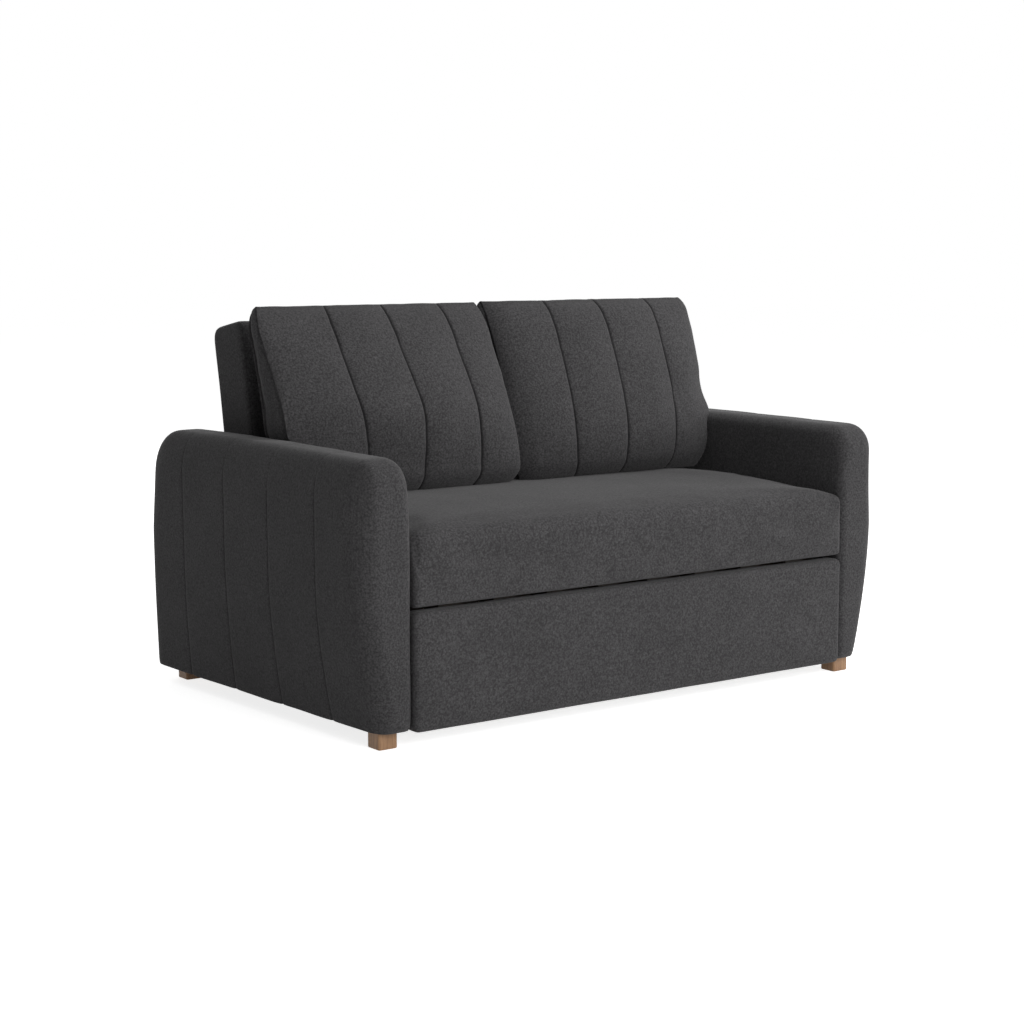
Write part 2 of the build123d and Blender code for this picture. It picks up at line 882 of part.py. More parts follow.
def drill_back(x):
    """Holes at both ends of the backrest for the hinge drum, the pin and the levers' bolts."""
    for side in (-1, 1):
        reach = sorted((side * x[0], side * x[1]))
        rod(reach, pivot_y, pivot_z, pivot_pin_radius + pivot_pin_clearance, mode=Mode.SUBTRACT)
        for y, z in lever_bolts:
            rod(reach, y, z, bolt_radius + fit_gap, mode=Mode.SUBTRACT)
        drum = sorted((side * frame_half, side * (back_half_width + overrun)))
        rod(drum, pivot_y, pivot_z, drum_radius + fit_gap, mode=Mode.SUBTRACT)


with BuildPart() as back_cover:
    add(back_form(0))
    add(back_core_form, mode=Mode.SUBTRACT)
    drill_back((frame_half, back_half_width + overrun))
keep("back_cover", back_cover.part)

with BuildPart() as back_foam:
    add(back_core_form)
    back_block(
        (-frame_half, frame_half),
        (frame_out[0] - webbing_thickness, frame_out[1]),
        frame_up,
        mode=Mode.SUBTRACT,
    )
    drill_back((frame_half, back_half_width + overrun))
keep("back_foam", back_foam.part)

with BuildPart() as back_stiles:
    for x in ((-frame_half, -frame_half + back_stile_width), (frame_half - back_stile_width, frame_half)):
        back_block(x, frame_out, frame_up)
    drill_back((frame_half - lever_bolt_length, frame_half + overrun))
    for side in (-1, 1):
        rod(
            sorted((side * (frame_half - back_stile_width - overrun), side * (frame_half + overrun))),
            pivot_y,
            pivot_z,
            pivot_pin_radius + pivot_pin_clearance,
            mode=Mode.SUBTRACT,
        )
keep("back_stiles", back_stiles.part)

rail_half = frame_half - back_stile_width
with BuildPart() as back_rails:
    back_block((-rail_half, rail_half), frame_out, (frame_up[1] - back_rail_height, frame_up[1]))
    back_block((-rail_half, rail_half), frame_out, (frame_up[0], frame_up[0] + back_rail_height))
keep("back_rails", back_rails.part)

with BuildPart() as webbing:
    for share in webbing_shares:
        middle = share * back_length
        back_block(
            (-frame_half, frame_half),
            (frame_out[0] - webbing_thickness, frame_out[0]),
            (middle - webbing_width / 2, middle + webbing_width / 2),
        )
keep("back_webbing", webbing.part)

# Hinge: a slotted plate on the arm and a lever on the backrest, joined by the pivot pin. A stop
# pin on the lever runs in the slot and ends the backrest's travel both ways.
plate_x = (inner_face - plate_thickness, inner_face)
lever_x = (back_half_width, back_half_width + plate_thickness)
slot_middle = back_lean + stop_pin_angle + back_travel / 2
slot_half_width = stop_pin_radius + slot_clearance

slot_arc = CenterArc((0, 0), stop_circle_radius, 90 - slot_middle - back_travel / 2, back_travel)

with BuildPart() as hinge_plate:
    with BuildSketch(Plane.YZ.offset(plate_x[0])):
        with Locations((pivot_y, pivot_z)):
            Circle(hinge_disc_radius)
        with Locations((pivot_y, pivot_z - hinge_tab_drop / 2)):
            RectangleRounded(hinge_tab_width, hinge_tab_drop, hinge_tab_corner)
        with Locations(hinge_bolts):
            Circle(bolt_radius + fit_gap, mode=Mode.SUBTRACT)
        with Locations((pivot_y, pivot_z)):
            Circle(pivot_pin_radius, mode=Mode.SUBTRACT)
            SlotArc(slot_arc, slot_half_width * 2, mode=Mode.SUBTRACT)
    extrude(amount=plate_thickness)
    for y, z in hinge_bolts:
        rod(
            (plate_x[0], plate_x[0] + bracket_screw_head_height),
            y,
            z,
            bolt_head_radius + fit_gap,
            mode=Mode.SUBTRACT,
        )
keep_pair("hinge_plate", hinge_plate.part)

with BuildPart() as hinge_bolt_set:
    for side in (-1, 1):
        for y, z in hinge_bolts:
            flush = inner_face - plate_thickness
            head_end = flush + bracket_screw_head_height
            rod(sorted((side * flush, side * head_end)), y, z, bolt_head_radius)
            rod(sorted((side * head_end, side * (inner_face + bolt_length))), y, z, bolt_radius)
keep("hinge_bolts", hinge_bolt_set.part)

with BuildPart() as pivot_pins:
    for side in (-1, 1):
        rod(
            sorted((side * (inner_face - pivot_pin_inner), side * (inner_face + pivot_pin_outer))),
            pivot_y,
            pivot_z,
            pivot_pin_radius,
        )
keep("pivot_pins", pivot_pins.part)

with BuildPart() as lever:
    with BuildSketch(back_side_plane(lever_x[0])):
        Circle(lever_disc_radius)
        with Locations((back_frame_offset, lever_length / 2)):
            RectangleRounded(lever_width, lever_length, lever_width / 3)
        Circle(pivot_pin_radius + pivot_pin_clearance, mode=Mode.SUBTRACT)
        stop_out = stop_circle_radius * sin(radians(stop_pin_angle))
        stop_up = stop_circle_radius * cos(radians(stop_pin_angle))
        with Locations((stop_out, stop_up)):
            Circle(stop_pin_radius, mode=Mode.SUBTRACT)
    extrude(amount=plate_thickness)
    for y, z in lever_bolts:
        rod((lever_x[0] - overrun, lever_x[1]), y, z, bolt_radius + fit_gap, mode=Mode.SUBTRACT)
        rod(
            (lever_x[1] - bracket_screw_head_height, lever_x[1]),
            y,
            z,
            bolt_head_radius + fit_gap,
            mode=Mode.SUBTRACT,
        )
keep_pair("back_lever", lever.part)

with BuildPart() as lever_bolt_set:
    for side in (-1, 1):
        for y, z in lever_bolts:
            head_start = lever_x[1] - bracket_screw_head_height
            rod(sorted((side * head_start, side * lever_x[1])), y, z, bolt_head_radius)
            rod(sorted((side * (frame_half - lever_bolt_length), side * head_start)), y, z, bolt_radius)
keep("lever_bolts", lever_bolt_set.part)

stop_y, stop_z = back_point(stop_out, stop_up)
with BuildPart() as stop_pins:
    for side in (-1, 1):
        rod(sorted((side * lever_x[0], side * inner_face)), stop_y, stop_z, stop_pin_radius)
keep("stop_pins", stop_pins.part)

with BuildPart() as drums:
    for side in (-1, 1):
        rod(sorted((side * frame_half, side * back_half_width)), pivot_y, pivot_z, drum_radius)
        rod(
            sorted((side * (frame_half - overrun), side * (back_half_width + overrun))),
            pivot_y,
            pivot_z,
            pivot_pin_radius + pivot_pin_clearance,
            mode=Mode.SUBTRACT,
        )
keep("ratchet_drums", drums.part)


def cushion_form(inset):
    """The bench seat cushion's outside, or the same form drawn in by an inset."""
    near = front + cushion_setback + inset
    far = pivot_y - pivot_radius - back_seat_gap - inset
    low = slat_top + slide_gap + inset
    edge = cushion_edge_height - inset
    half_width = inner_face - cushion_side_gap - inset
    with BuildPart() as form:
        with BuildSketch(Plane.YZ.offset(-half_width)) as outline:
            with BuildLine():
                Polyline((far, edge), (far, low), (near, low), (near, edge))
                ThreePointArc((near, edge), ((near + far) / 2, seat_height - inset), (far, edge))
            make_face()
            corners = outline.vertices()
            lows = corners.group_by(Axis.Y)[0].sort_by(Axis.X)
            tops = corners.group_by(Axis.Y)[-1].sort_by(Axis.X)
            fillet(lows[0], cushion_front_low_radius - inset)
            fillet(lows[-1], cushion_rear_low_radius - inset)
            fillet(tops[0], cushion_front_top_radius - inset)
            fillet(tops[-1], cushion_rear_top_radius - inset)
        extrude(amount=2 * half_width)
        for end in (0, -1):
            fillet(form.faces().sort_by(Axis.X)[end].edges(), cushion_end_radius - inset)
    return form.part


cushion_core_form = cushion_form(cushion_cover_thickness)
with BuildPart() as cushion_cover:
    add(cushion_form(0))
    add(cushion_core_form, mode=Mode.SUBTRACT)
keep("seat_cushion_cover", cushion_cover.part)
keep("seat_cushion_foam", cushion_core_form)


def cushion_top_at(y):
    """The height of the seat cushion's crowned top, at a place from front to back."""
    near = front + cushion_setback
    far = pivot_y - pivot_radius - back_seat_gap
    half = (far - near) / 2
    radius = (half**2 + cushion_crown**2) / (2 * cushion_crown)
    return seat_height - radius + sqrt(radius**2 - (y - (near + far) / 2) ** 2)


def back_face_at(z):
    """Where the backrest's front face is at a height."""
    lean = radians(back_lean)
    return pivot_y - pivot_radius / cos(lean) + (z - pivot_z) * tan(lean)


def pillow_form(inset):
    """The right back cushion's outside, or the same form drawn in by an inset.

    Level sections run from the seat up: four bulging channels in front, a rounded back
    that rests on the backrest, and sides that are drawn in.
    """
    full_width = inner_face - pillow_side_gap - pillow_gap / 2
    middle = pillow_gap / 2 + full_width / 2
    foot_reach = pillow_shares[0][1] * pillow_thickness + pillow_channel_bulge
    low = cushion_top_at(back_face_at(seat_height) - pillow_back_gap - foot_reach) + soft_gap
    high = sofa_height
    with BuildPart() as form:
        for share, front_mid, front_side, rear_side, rear_mid, width_share in pillow_shares:
            z = low + share * (high - low)
            level = z + inset * (1 - 2 * share)
            face = back_face_at(z) - pillow_back_gap
            half = full_width * width_share / 2 - inset
            y_front_side = face - front_side * pillow_thickness + inset
            y_front_mid = face - front_mid * pillow_thickness + inset
            y_rear_side = face - rear_side * pillow_thickness - inset
            y_rear_mid = face - rear_mid * pillow_thickness - inset
            bulge = pillow_channel_bulge * front_mid
            seams = []
            for k in range(pillow_channel_count + 1):
                place = 2 * k / pillow_channel_count - 1
                seams.append(
                    (middle + half * place, y_front_side + (y_front_mid - y_front_side) * (1 - place**2))
                )
            with BuildSketch(Plane.XY.offset(level)):
                with BuildLine():
                    for a, b in zip(seams[:-1], seams[1:]):
                        length = hypot(b[0] - a[0], b[1] - a[1])
                        out = ((b[1] - a[1]) / length, (a[0] - b[0]) / length)
                        peak = (
                            (a[0] + b[0]) / 2 + out[0] * bulge,
                            (a[1] + b[1]) / 2 + out[1] * bulge,
                        )
                        ThreePointArc(a, peak, b)
                    Line(seams[-1], (middle + half, y_rear_side))
                    ThreePointArc(
                        (middle + half, y_rear_side),
                        (middle, y_rear_mid),
                        (middle - half, y_rear_side),
                    )
                    Line((middle - half, y_rear_side), seams[0])
                make_face()
        loft()
    return form.part


pillow_core_form = pillow_form(pillow_cover_thickness)
with BuildPart() as pillow_cover:
    add(pillow_form(0))
    add(pillow_core_form, mode=Mode.SUBTRACT)
keep_pair("pillow_cover", pillow_cover.part)
keep_pair("pillow_core", pillow_core_form)

print(len(pieces), "pieces written")
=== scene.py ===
import json
from math import cos, radians, sin

import bpy
import numpy as np
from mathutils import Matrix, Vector, noise


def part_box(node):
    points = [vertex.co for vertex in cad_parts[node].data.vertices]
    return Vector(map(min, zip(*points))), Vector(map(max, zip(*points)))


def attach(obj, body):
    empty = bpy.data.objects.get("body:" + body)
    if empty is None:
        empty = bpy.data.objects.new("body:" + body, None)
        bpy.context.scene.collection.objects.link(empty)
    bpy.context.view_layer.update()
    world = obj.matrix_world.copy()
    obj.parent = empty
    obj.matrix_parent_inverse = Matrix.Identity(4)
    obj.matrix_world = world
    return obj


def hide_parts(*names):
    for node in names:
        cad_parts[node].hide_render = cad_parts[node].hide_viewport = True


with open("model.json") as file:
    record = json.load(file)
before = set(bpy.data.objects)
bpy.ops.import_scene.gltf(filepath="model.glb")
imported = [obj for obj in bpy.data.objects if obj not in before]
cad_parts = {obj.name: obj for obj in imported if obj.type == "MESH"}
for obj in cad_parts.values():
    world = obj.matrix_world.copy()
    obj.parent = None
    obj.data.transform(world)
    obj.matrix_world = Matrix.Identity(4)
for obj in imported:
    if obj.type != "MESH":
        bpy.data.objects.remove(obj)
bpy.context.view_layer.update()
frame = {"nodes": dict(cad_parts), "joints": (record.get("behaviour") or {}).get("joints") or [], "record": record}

bl_info = {
    "name": "Sleeper Loveseat Upholstery",
    "version": (1, 0, 0),
    "blender": (4, 5, 0),
    "location": "View3D > Sidebar > Loveseat",
    "description": "Dresses a pull-out loveseat in tweed, oiled timber and metal finishes",
    "category": "Object",
}


def linear(code):
    """An sRGB hex colour as linear red, green and blue."""
    parts = [int(code[k : k + 2], 16) / 255 for k in (1, 3, 5)]
    return tuple(c / 12.92 if c <= 0.04045 else ((c + 0.055) / 1.055) ** 2.4 for c in parts)


# Sizes and colours to change


class LoveseatForms(bpy.types.PropertyGroup):
    """Sizes of the padded forms that the frame's boxes don't give."""

    front_shoulder: bpy.props.FloatProperty(
        name="Front shoulder", description="Radius of the arm's front shoulder, seen from the side",
        default=0.06, unit="LENGTH")
    rear_shoulder: bpy.props.FloatProperty(
        name="Rear shoulder", description="Radius of the arm's rear shoulder, seen from the side",
        default=0.105, unit="LENGTH")
    outer_edge: bpy.props.FloatProperty(
        name="Arm outer edge", description="How far in the arm's rolled outer edge reaches",
        default=0.044, unit="LENGTH")
    outer_drop: bpy.props.FloatProperty(
        name="Arm outer drop", description="How far down the arm's rolled outer edge reaches",
        default=0.095, unit="LENGTH")
    inner_edge: bpy.props.FloatProperty(
        name="Arm inner edge", description="Radius along the arm's inner top edge",
        default=0.032, unit="LENGTH")
    arm_crown: bpy.props.FloatProperty(
        name="Arm crown", description="How far the arm's top rises between its ends",
        default=0.005, unit="LENGTH")
    draw_height: bpy.props.FloatProperty(
        name="Draw-in height", description="Height below which the arm's outer side draws in",
        default=0.39, unit="LENGTH")
    front_base: bpy.props.FloatProperty(
        name="Front base", description="Width of the arm's foot edge at the front",
        default=0.075, unit="LENGTH")
    rear_base: bpy.props.FloatProperty(
        name="Rear base", description="Width of the arm's foot edge at the rear",
        default=0.117, unit="LENGTH")
    first_seam: bpy.props.FloatProperty(
        name="First arm seam", description="Place of the first arm seam behind the front",
        default=0.182, unit="LENGTH")
    seam_pitch: bpy.props.FloatProperty(
        name="Arm seam spacing", description="Spacing of the arm's channel seams",
        default=0.193, unit="LENGTH")
    seam_depth: bpy.props.FloatProperty(
        name="Seam depth", description="How deep a sewn seam pulls into the padding",
        default=0.0045, unit="LENGTH")
    face_reach: bpy.props.FloatProperty(
        name="Face reach", description="How far the seat's and front panel's faces puff out in front",
        default=0.009, unit="LENGTH")
    cushion_crown: bpy.props.FloatProperty(
        name="Seat crown", description="How far the seat cushion's top rises to its middle",
        default=0.013, unit="LENGTH")
    pillow_spread: bpy.props.FloatProperty(
        name="Pillow spread", description="How far a pillow spreads sideways above its arm",
        default=0.024, unit="LENGTH")
    pillow_sink: bpy.props.FloatProperty(
        name="Pillow sink", description="How far the left pillow's head has settled",
        default=0.005, unit="LENGTH")
    head_slope: bpy.props.FloatProperty(
        name="Head slope", description="How far a pillow's head falls from its front to its back",
        default=0.018, unit="LENGTH")
    pillow_bulge: bpy.props.FloatProperty(
        name="Channel bulge", description="How far a pillow's channel bulges between its seams",
        default=0.006, unit="LENGTH")
    back_lean: bpy.props.FloatProperty(
        name="Back lean", description="Lean of the backrest from upright",
        default=radians(10), subtype="ANGLE")
    back_thickness: bpy.props.FloatProperty(
        name="Back thickness", description="Thickness of the backrest", default=0.14, unit="LENGTH")
    back_length: bpy.props.FloatProperty(
        name="Back length", description="Height of the backrest above its hinge, along its lean",
        default=0.468, unit="LENGTH")


class LoveseatCloth(bpy.types.PropertyGroup):
    """Colours and texture of the tweed, with the painted shade of its loop hollows and seams."""

    yarn: bpy.props.FloatVectorProperty(
        name="Yarn", description="Main colour of the tweed",
        subtype="COLOR", default=linear("#403f40"))
    # Painted shade: the colour that the hollows between the loops take, darker than the yarn
    pit_shade_colour: bpy.props.FloatVectorProperty(
        name="Dark yarn", description="Colour between the loops",
        subtype="COLOR", default=linear("#302f30"))
    fleck: bpy.props.FloatVectorProperty(
        name="Fleck", description="Colour of the pale flecks",
        subtype="COLOR", default=linear("#504f50"))
    # Painted shade: the near-black colour that seam marks blend to, standing in for the shade in the seams'
    # creases
    seam: bpy.props.FloatVectorProperty(
        name="Seam", description="Colour deep in a seam",
        subtype="COLOR", default=linear("#141314"))
    loop: bpy.props.FloatProperty(
        name="Loop size", description="Size of a yarn loop as drawn", default=0.0045, unit="LENGTH")


class LoveseatStage(bpy.types.PropertyGroup):
    """Camera, floor and lights."""

    azimuth: bpy.props.FloatProperty(
        name="Azimuth", description="Camera's turn about the upright axis, from the front",
        default=radians(-36.356), subtype="ANGLE")
    elevation: bpy.props.FloatProperty(
        name="Elevation", description="Camera's height angle",
        default=radians(7.559), subtype="ANGLE")
    distance: bpy.props.FloatProperty(
        name="Distance", description="Camera's distance from its target",
        default=4.7135, unit="LENGTH")
    target: bpy.props.FloatVectorProperty(
        name="Target", description="Place that the camera looks at", subtype="TRANSLATION",
        default=(-0.0653, -0.0746, 0.4038))
    lens: bpy.props.FloatProperty(
        name="Lens", description="Focal length on a 36 mm frame, in millimetres", default=71.19)
    floor: bpy.props.FloatVectorProperty(
        name="Floor", description="Colour of the floor", subtype="COLOR", default=linear("#f1f1f1"))
    key: bpy.props.FloatProperty(
        name="Key light", description="Power of the lamp at the front right, in watts",
        default=115.0)
    fill: bpy.props.FloatProperty(
        name="Fill light", description="Power of the lamp in front of the sofa, in watts",
        default=168.0)
    top: bpy.props.FloatProperty(
        name="Top light", description="Power of the lamp over the right arm, in watts",
        default=72.0)
    rear: bpy.props.FloatProperty(
        name="Rear light", description="Power of the lamp behind the sofa, in watts",
        default=80.0)


# Grids, forms and cloth


# The material that every padded piece takes
TWEED = "charcoal_tweed_woven_wool"

# Grid steps on both sides of a seam, close enough to keep the seam's shape
SEAM_STEPS = (0.0016, 0.004, 0.009, 0.018)


def hinge_place():
    """A point on the backrest's hinge line."""
    return [joint for joint in frame["joints"] if joint["name"] == "back_recline"][0]["pos_m"]


def crate(shares):
    """Points over the six faces of a box, as shares of its sides, and the quads between them."""
    counts = [len(s) for s in shares]
    i, j, k = np.indices(counts)
    shell = (i % (counts[0] - 1) == 0) | (j % (counts[1] - 1) == 0) | (k % (counts[2] - 1) == 0)
    index = np.full(counts, -1)
    index[shell] = np.arange(shell.sum())
    points = np.stack([shares[0][i[shell]], shares[1][j[shell]], shares[2][k[shell]]], 1)
    quads = []
    for axis in range(3):
        for end in (0, -1):
            face = np.take(index, end, axis=axis)
            around = [face[:-1, :-1], face[1:, :-1], face[1:, 1:], face[:-1, 1:]]
            if (end == 0) != (axis == 1):
                around.reverse()
            quads.append(np.stack(around, -1).reshape(-1, 4))
    return points, np.concatenate(quads)


def spaced(low, high, step, seams=(), beside=SEAM_STEPS):
    """Places from low to high about a step apart, closer together beside each seam."""
    marks = [low, high]
    for seam in seams:
        marks += [seam] + [seam + side * gap for side in (-1, 1) for gap in beside]
    marks = sorted(m for m in marks if low <= m <= high)
    places = [marks[0]]
    for mark in marks[1:]:
        gap = mark - places[-1]
        if gap < 1e-4:
            continue
        count = max(1, round(gap / step))
        places += [places[-1] + gap * (n + 1) / count for n in range(count)]
    return np.array(places)


def with_ends(places, *steps):
    """Places with more near both ends, where a rounded edge turns."""
    steps = np.array(steps)
    return np.unique(np.concatenate([places, places[0] + steps, places[-1] - steps]))


def shares_of(places):
    """Places as shares of their whole span."""
    return (places - places[0]) / (places[-1] - places[0])


def round_meet(a, b, radius):
    """The distance to what is inside two faces that meet in a rounded edge."""
    u, v = np.maximum(a + radius, 0), np.maximum(b + radius, 0)
    return np.minimum(np.maximum(a, b), -radius) + np.hypot(u, v)


def wrap(points, low, high, distance):
    """Draw points in towards a core box until they lie on a form."""
    inwards = np.clip(points, low, high) - points
    out, into = np.zeros(len(points)), np.ones(len(points))
    for _ in range(32):
        middle = (out + into) / 2
        inside = distance(points + inwards * middle[:, None]) < 0
        into, out = np.where(inside, middle, into), np.where(inside, out, middle)
    return points + inwards * into[:, None]


def valley(offset, width):
    """1 on a seam's line, falling smoothly to 0 beside it."""
    return np.exp(-((offset / width) ** 2))


def make_piece(name, points, quads, marks=None):
    """A mesh object from points and quads, with a mark of painted seam shade on each point."""
    mesh = bpy.data.meshes.new(name)
    mesh.from_pydata(points.tolist(), [], quads.tolist())
    mesh.update()
    piece = bpy.data.objects.new(name, mesh)
    bpy.context.scene.collection.objects.link(piece)
    seam = mesh.attributes.new("seam", "FLOAT", "POINT")
    if marks is not None:
        seam.data.foreach_set("value", np.asarray(marks, np.float32))
    return piece


def places_of(piece):
    """The piece's points as rows of x, y and z."""
    flat = np.zeros(len(piece.data.vertices) * 3, np.float32)
    piece.data.vertices.foreach_get("co", flat)
    return flat.reshape(-1, 3).astype(float)


def put_back(piece, points):
    """Write the piece's points."""
    piece.data.vertices.foreach_set("co", points.astype(np.float32).ravel())
    piece.data.update()


def normals_of(piece):
    """The piece's outward direction at each point."""
    flat = np.zeros(len(piece.data.vertices) * 3, np.float32)
    piece.data.vertex_normals.foreach_get("vector", flat)
    return flat.reshape(-1, 3).astype(float)


def swell(piece, pinned, pressure, cap, slack):
    """Let the cover swell like sewn cloth from its pinned points, by no more than a cap."""
    start = places_of(piece)
    group = piece.vertex_groups.new(name="pinned")
    for index in np.flatnonzero(pinned > 0.01):
        group.add([int(index)], float(pinned[index]), "REPLACE")
    cloth = piece.modifiers.new("Cloth", "CLOTH")
    settings = cloth.settings
    settings.quality = 6
    settings.mass = 0.4
    settings.tension_stiffness = 15.0
    settings.compression_stiffness = 15.0
    settings.shear_stiffness = 5.0
    settings.bending_stiffness = 0.6
    settings.use_pressure = True
    settings.uniform_pressure_force = pressure
    settings.shrink_min = -slack
    settings.vertex_group_mass = "pinned"
    settings.effector_weights.gravity = 0
    cloth.collision_settings.use_collision = False
    last = 18
    cloth.point_cache.frame_start = 1
    cloth.point_cache.frame_end = last
    scene = bpy.context.scene
    for moment in range(1, last + 1):
        scene.frame_set(moment)
    swollen = piece.evaluated_get(bpy.context.evaluated_depsgraph_get())
    seen = swollen.to_mesh()
    flat = np.zeros(len(seen.vertices) * 3, np.float32)
    seen.vertices.foreach_get("co", flat)
    swollen.to_mesh_clear()
    piece.modifiers.remove(cloth)
    piece.vertex_groups.remove(group)
    scene.frame_set(1)
    move = flat.reshape(-1, 3) - start
    length = np.linalg.norm(move, axis=1, keepdims=True)
    put_back(piece, start + move * np.minimum(1, cap / np.maximum(length, 1e-9)))


def smoothed(piece):
    """Subdivide the piece once, apply it and shade it smooth."""
    bpy.ops.object.select_all(action="DESELECT")
    piece.select_set(True)
    bpy.context.view_layer.objects.active = piece
    finer = piece.modifiers.new("Subdivision", "SUBSURF")
    finer.levels = 1
    finer.render_levels = 1
    bpy.ops.object.modifier_apply(modifier=finer.name)
    bpy.ops.object.shade_smooth()


def soften(piece, amount, size, seed):
    """Shift points in and out a little, as padding under cloth does."""
    points, normals = places_of(piece), normals_of(piece)
    shift = [noise.noise(Vector(p) / size + Vector((seed, 0.0, 0.0))) for p in points]
    put_back(piece, points + normals * (amount * np.array(shift))[:, None])


def mirrored(piece, name):
    """A copy of a piece, mirrored to the other side with its faces turned back out."""
    twin = piece.copy()
    twin.data = piece.data.copy()
    twin.name = twin.data.name = name
    bpy.context.scene.collection.objects.link(twin)
    points = places_of(twin)
    points[:, 0] *= -1
    put_back(twin, points)
    twin.data.flip_normals()
    return twin


def settle(piece, body, fill, *nodes):
    """Hand a padded piece its tweed, its body and the solids that it stands for."""
    piece.data.materials.clear()
    piece.data.materials.append(bpy.data.materials[TWEED])
    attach(piece, body)
    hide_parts(*nodes)


# Finishes


def node(tree, kind, inputs=(), **settings):
    """Add a node, choose its settings, and link or fill its inputs."""
    made = tree.nodes.new(kind)
    for name, value in settings.items():
        setattr(made, name, value)
    for name, value in inputs:
        if isinstance(value, bpy.types.NodeSocket):
            tree.links.new(value, made.inputs[name])
        else:
            made.inputs[name].default_value = value
    return made


def shown_rays(tree):
    """1 for the rays that show the white surroundings: seen, mirrored or through a clear thing."""
    path = node(tree, "ShaderNodeLightPath")
    shown = path.outputs["Is Camera Ray"]
    for kind in ("Is Glossy Ray", "Is Transmission Ray"):
        either = node(
            tree, "ShaderNodeMath", [(0, shown), (1, path.outputs[kind])], operation="MAXIMUM")
        shown = either.outputs[0]
    return shown


def new_finish(name):
    """A material with an empty principled surface."""
    material = bpy.data.materials.get(name) or bpy.data.materials.new(name)
    material.use_nodes = True
    tree = material.node_tree
    tree.nodes.clear()
    surface = node(tree, "ShaderNodeBsdfPrincipled")
    output = node(tree, "ShaderNodeOutputMaterial")
    tree.links.new(surface.outputs["BSDF"], output.inputs["Surface"])
    return material, tree, surface


def charcoal_tweed(cloth):
    """Woven tweed of looped wool-like yarn.

    The loops are 2 to 3 mm across and are drawn at 4.5 mm, so that they show in a picture of
    the whole sofa. They scatter light widely, and pale yarns mix in small flecks. The hollows
    between the loops are darkened as painted shade.
    """
    material, tree, surface = new_finish(TWEED)
    place = node(tree, "ShaderNodeTexCoord").outputs["Object"]
    loops = node(
        tree, "ShaderNodeTexVoronoi",
        [("Vector", place), ("Scale", 1 / cloth.loop), ("Randomness", 0.9)])
    yarns = node(
        tree, "ShaderNodeTexNoise",
        [("Vector", place), ("Scale", 0.9 / cloth.loop), ("Detail", 3.0), ("Roughness", 0.7)])
    broad = node(
        tree, "ShaderNodeTexNoise",
        [("Vector", place), ("Scale", 9.0), ("Detail", 2.0), ("Roughness", 0.5)])
    # Painted shade: where the loops' Voronoi distance is large, in the hollows between them, the colour turns to
    # the pit shade colour
    deep = node(
        tree, "ShaderNodeMapRange",
        [("Value", loops.outputs["Distance"]), ("From Min", 0.25), ("From Max", 0.75)])
    tone = node(
        tree, "ShaderNodeMix",
        [
            ("Factor", deep.outputs["Result"]), (6, tuple(cloth.yarn) + (1,)),
            (7, tuple(cloth.pit_shade_colour) + (1,)),
        ], data_type="RGBA")
    pale = node(
        tree, "ShaderNodeMapRange",
        [("Value", yarns.outputs["Fac"]), ("From Min", 0.48), ("From Max", 0.72), ("To Max", 0.8)])
    mixed = node(
        tree, "ShaderNodeMix",
        [("Factor", pale.outputs["Result"]), (6, tone.outputs[2]), (7, tuple(cloth.fleck) + (1,))],
        data_type="RGBA")
    # Warp threads of uneven thickness: 4 mm apart, seen for 25 mm at a time
    run = node(tree, "ShaderNodeMapping", [("Vector", place), ("Scale", (250.0, 40.0, 40.0))])
    warp = node(
        tree, "ShaderNodeTexNoise",
        [("Vector", run.outputs["Vector"]), ("Scale", 1.0), ("Detail", 2.0), ("Roughness", 0.6)])
    both = node(
        tree, "ShaderNodeMath",
        [(0, warp.outputs["Fac"]), (1, 0.6), (2, broad.outputs["Fac"])], operation="MULTIPLY_ADD")
    drift = node(
        tree, "ShaderNodeMapRange",
        [
            ("Value", both.outputs[0]), ("From Min", 0.55), ("From Max", 1.05),
            ("To Min", 0.9), ("To Max", 1.08),
        ])
    shaded = node(
        tree, "ShaderNodeVectorMath",
        [(0, mixed.outputs[2]), ("Scale", drift.outputs["Result"])], operation="SCALE")
    # Painted shade: the seam mark darkens the colour towards the seam colour, in place of the shade in the seams'
    # creases
    sewn = node(tree, "ShaderNodeAttribute", attribute_name="seam", attribute_type="GEOMETRY")
    dark = node(
        tree, "ShaderNodeMapRange",
        [("Value", sewn.outputs["Fac"]), ("From Min", 0.2), ("From Max", 0.95), ("To Max", 0.85)])
    colour = node(
        tree, "ShaderNodeMix",
        [("Factor", dark.outputs["Result"]), (6, shaded.outputs[0]), (7, tuple(cloth.seam) + (1,))],
        data_type="RGBA")
    height = node(
        tree, "ShaderNodeMath",
        [(0, loops.outputs["Distance"]), (1, -0.7)], operation="MULTIPLY")
    fuzz = node(
        tree, "ShaderNodeTexNoise", [("Vector", place), ("Scale", 1600.0), ("Detail", 2.0)])
    relief = node(
        tree, "ShaderNodeMath",
        [(0, fuzz.outputs["Fac"]), (1, 0.3), (2, height.outputs[0])], operation="MULTIPLY_ADD")
    bump = node(
        tree, "ShaderNodeBump",
        [("Strength", 0.14), ("Distance", 0.0022), ("Height", relief.outputs[0])])
    tree.links.new(colour.outputs[2], surface.inputs["Base Color"])
    tree.links.new(bump.outputs["Normal"], surface.inputs["Normal"])
    surface.inputs["Roughness"].default_value = 0.96
    surface.inputs["IOR"].default_value = 1.45
    surface.inputs["Specular IOR Level"].default_value = 0.2
    surface.inputs["Sheen Weight"].default_value = 0.08
    surface.inputs["Sheen Roughness"].default_value = 0.5
    return material


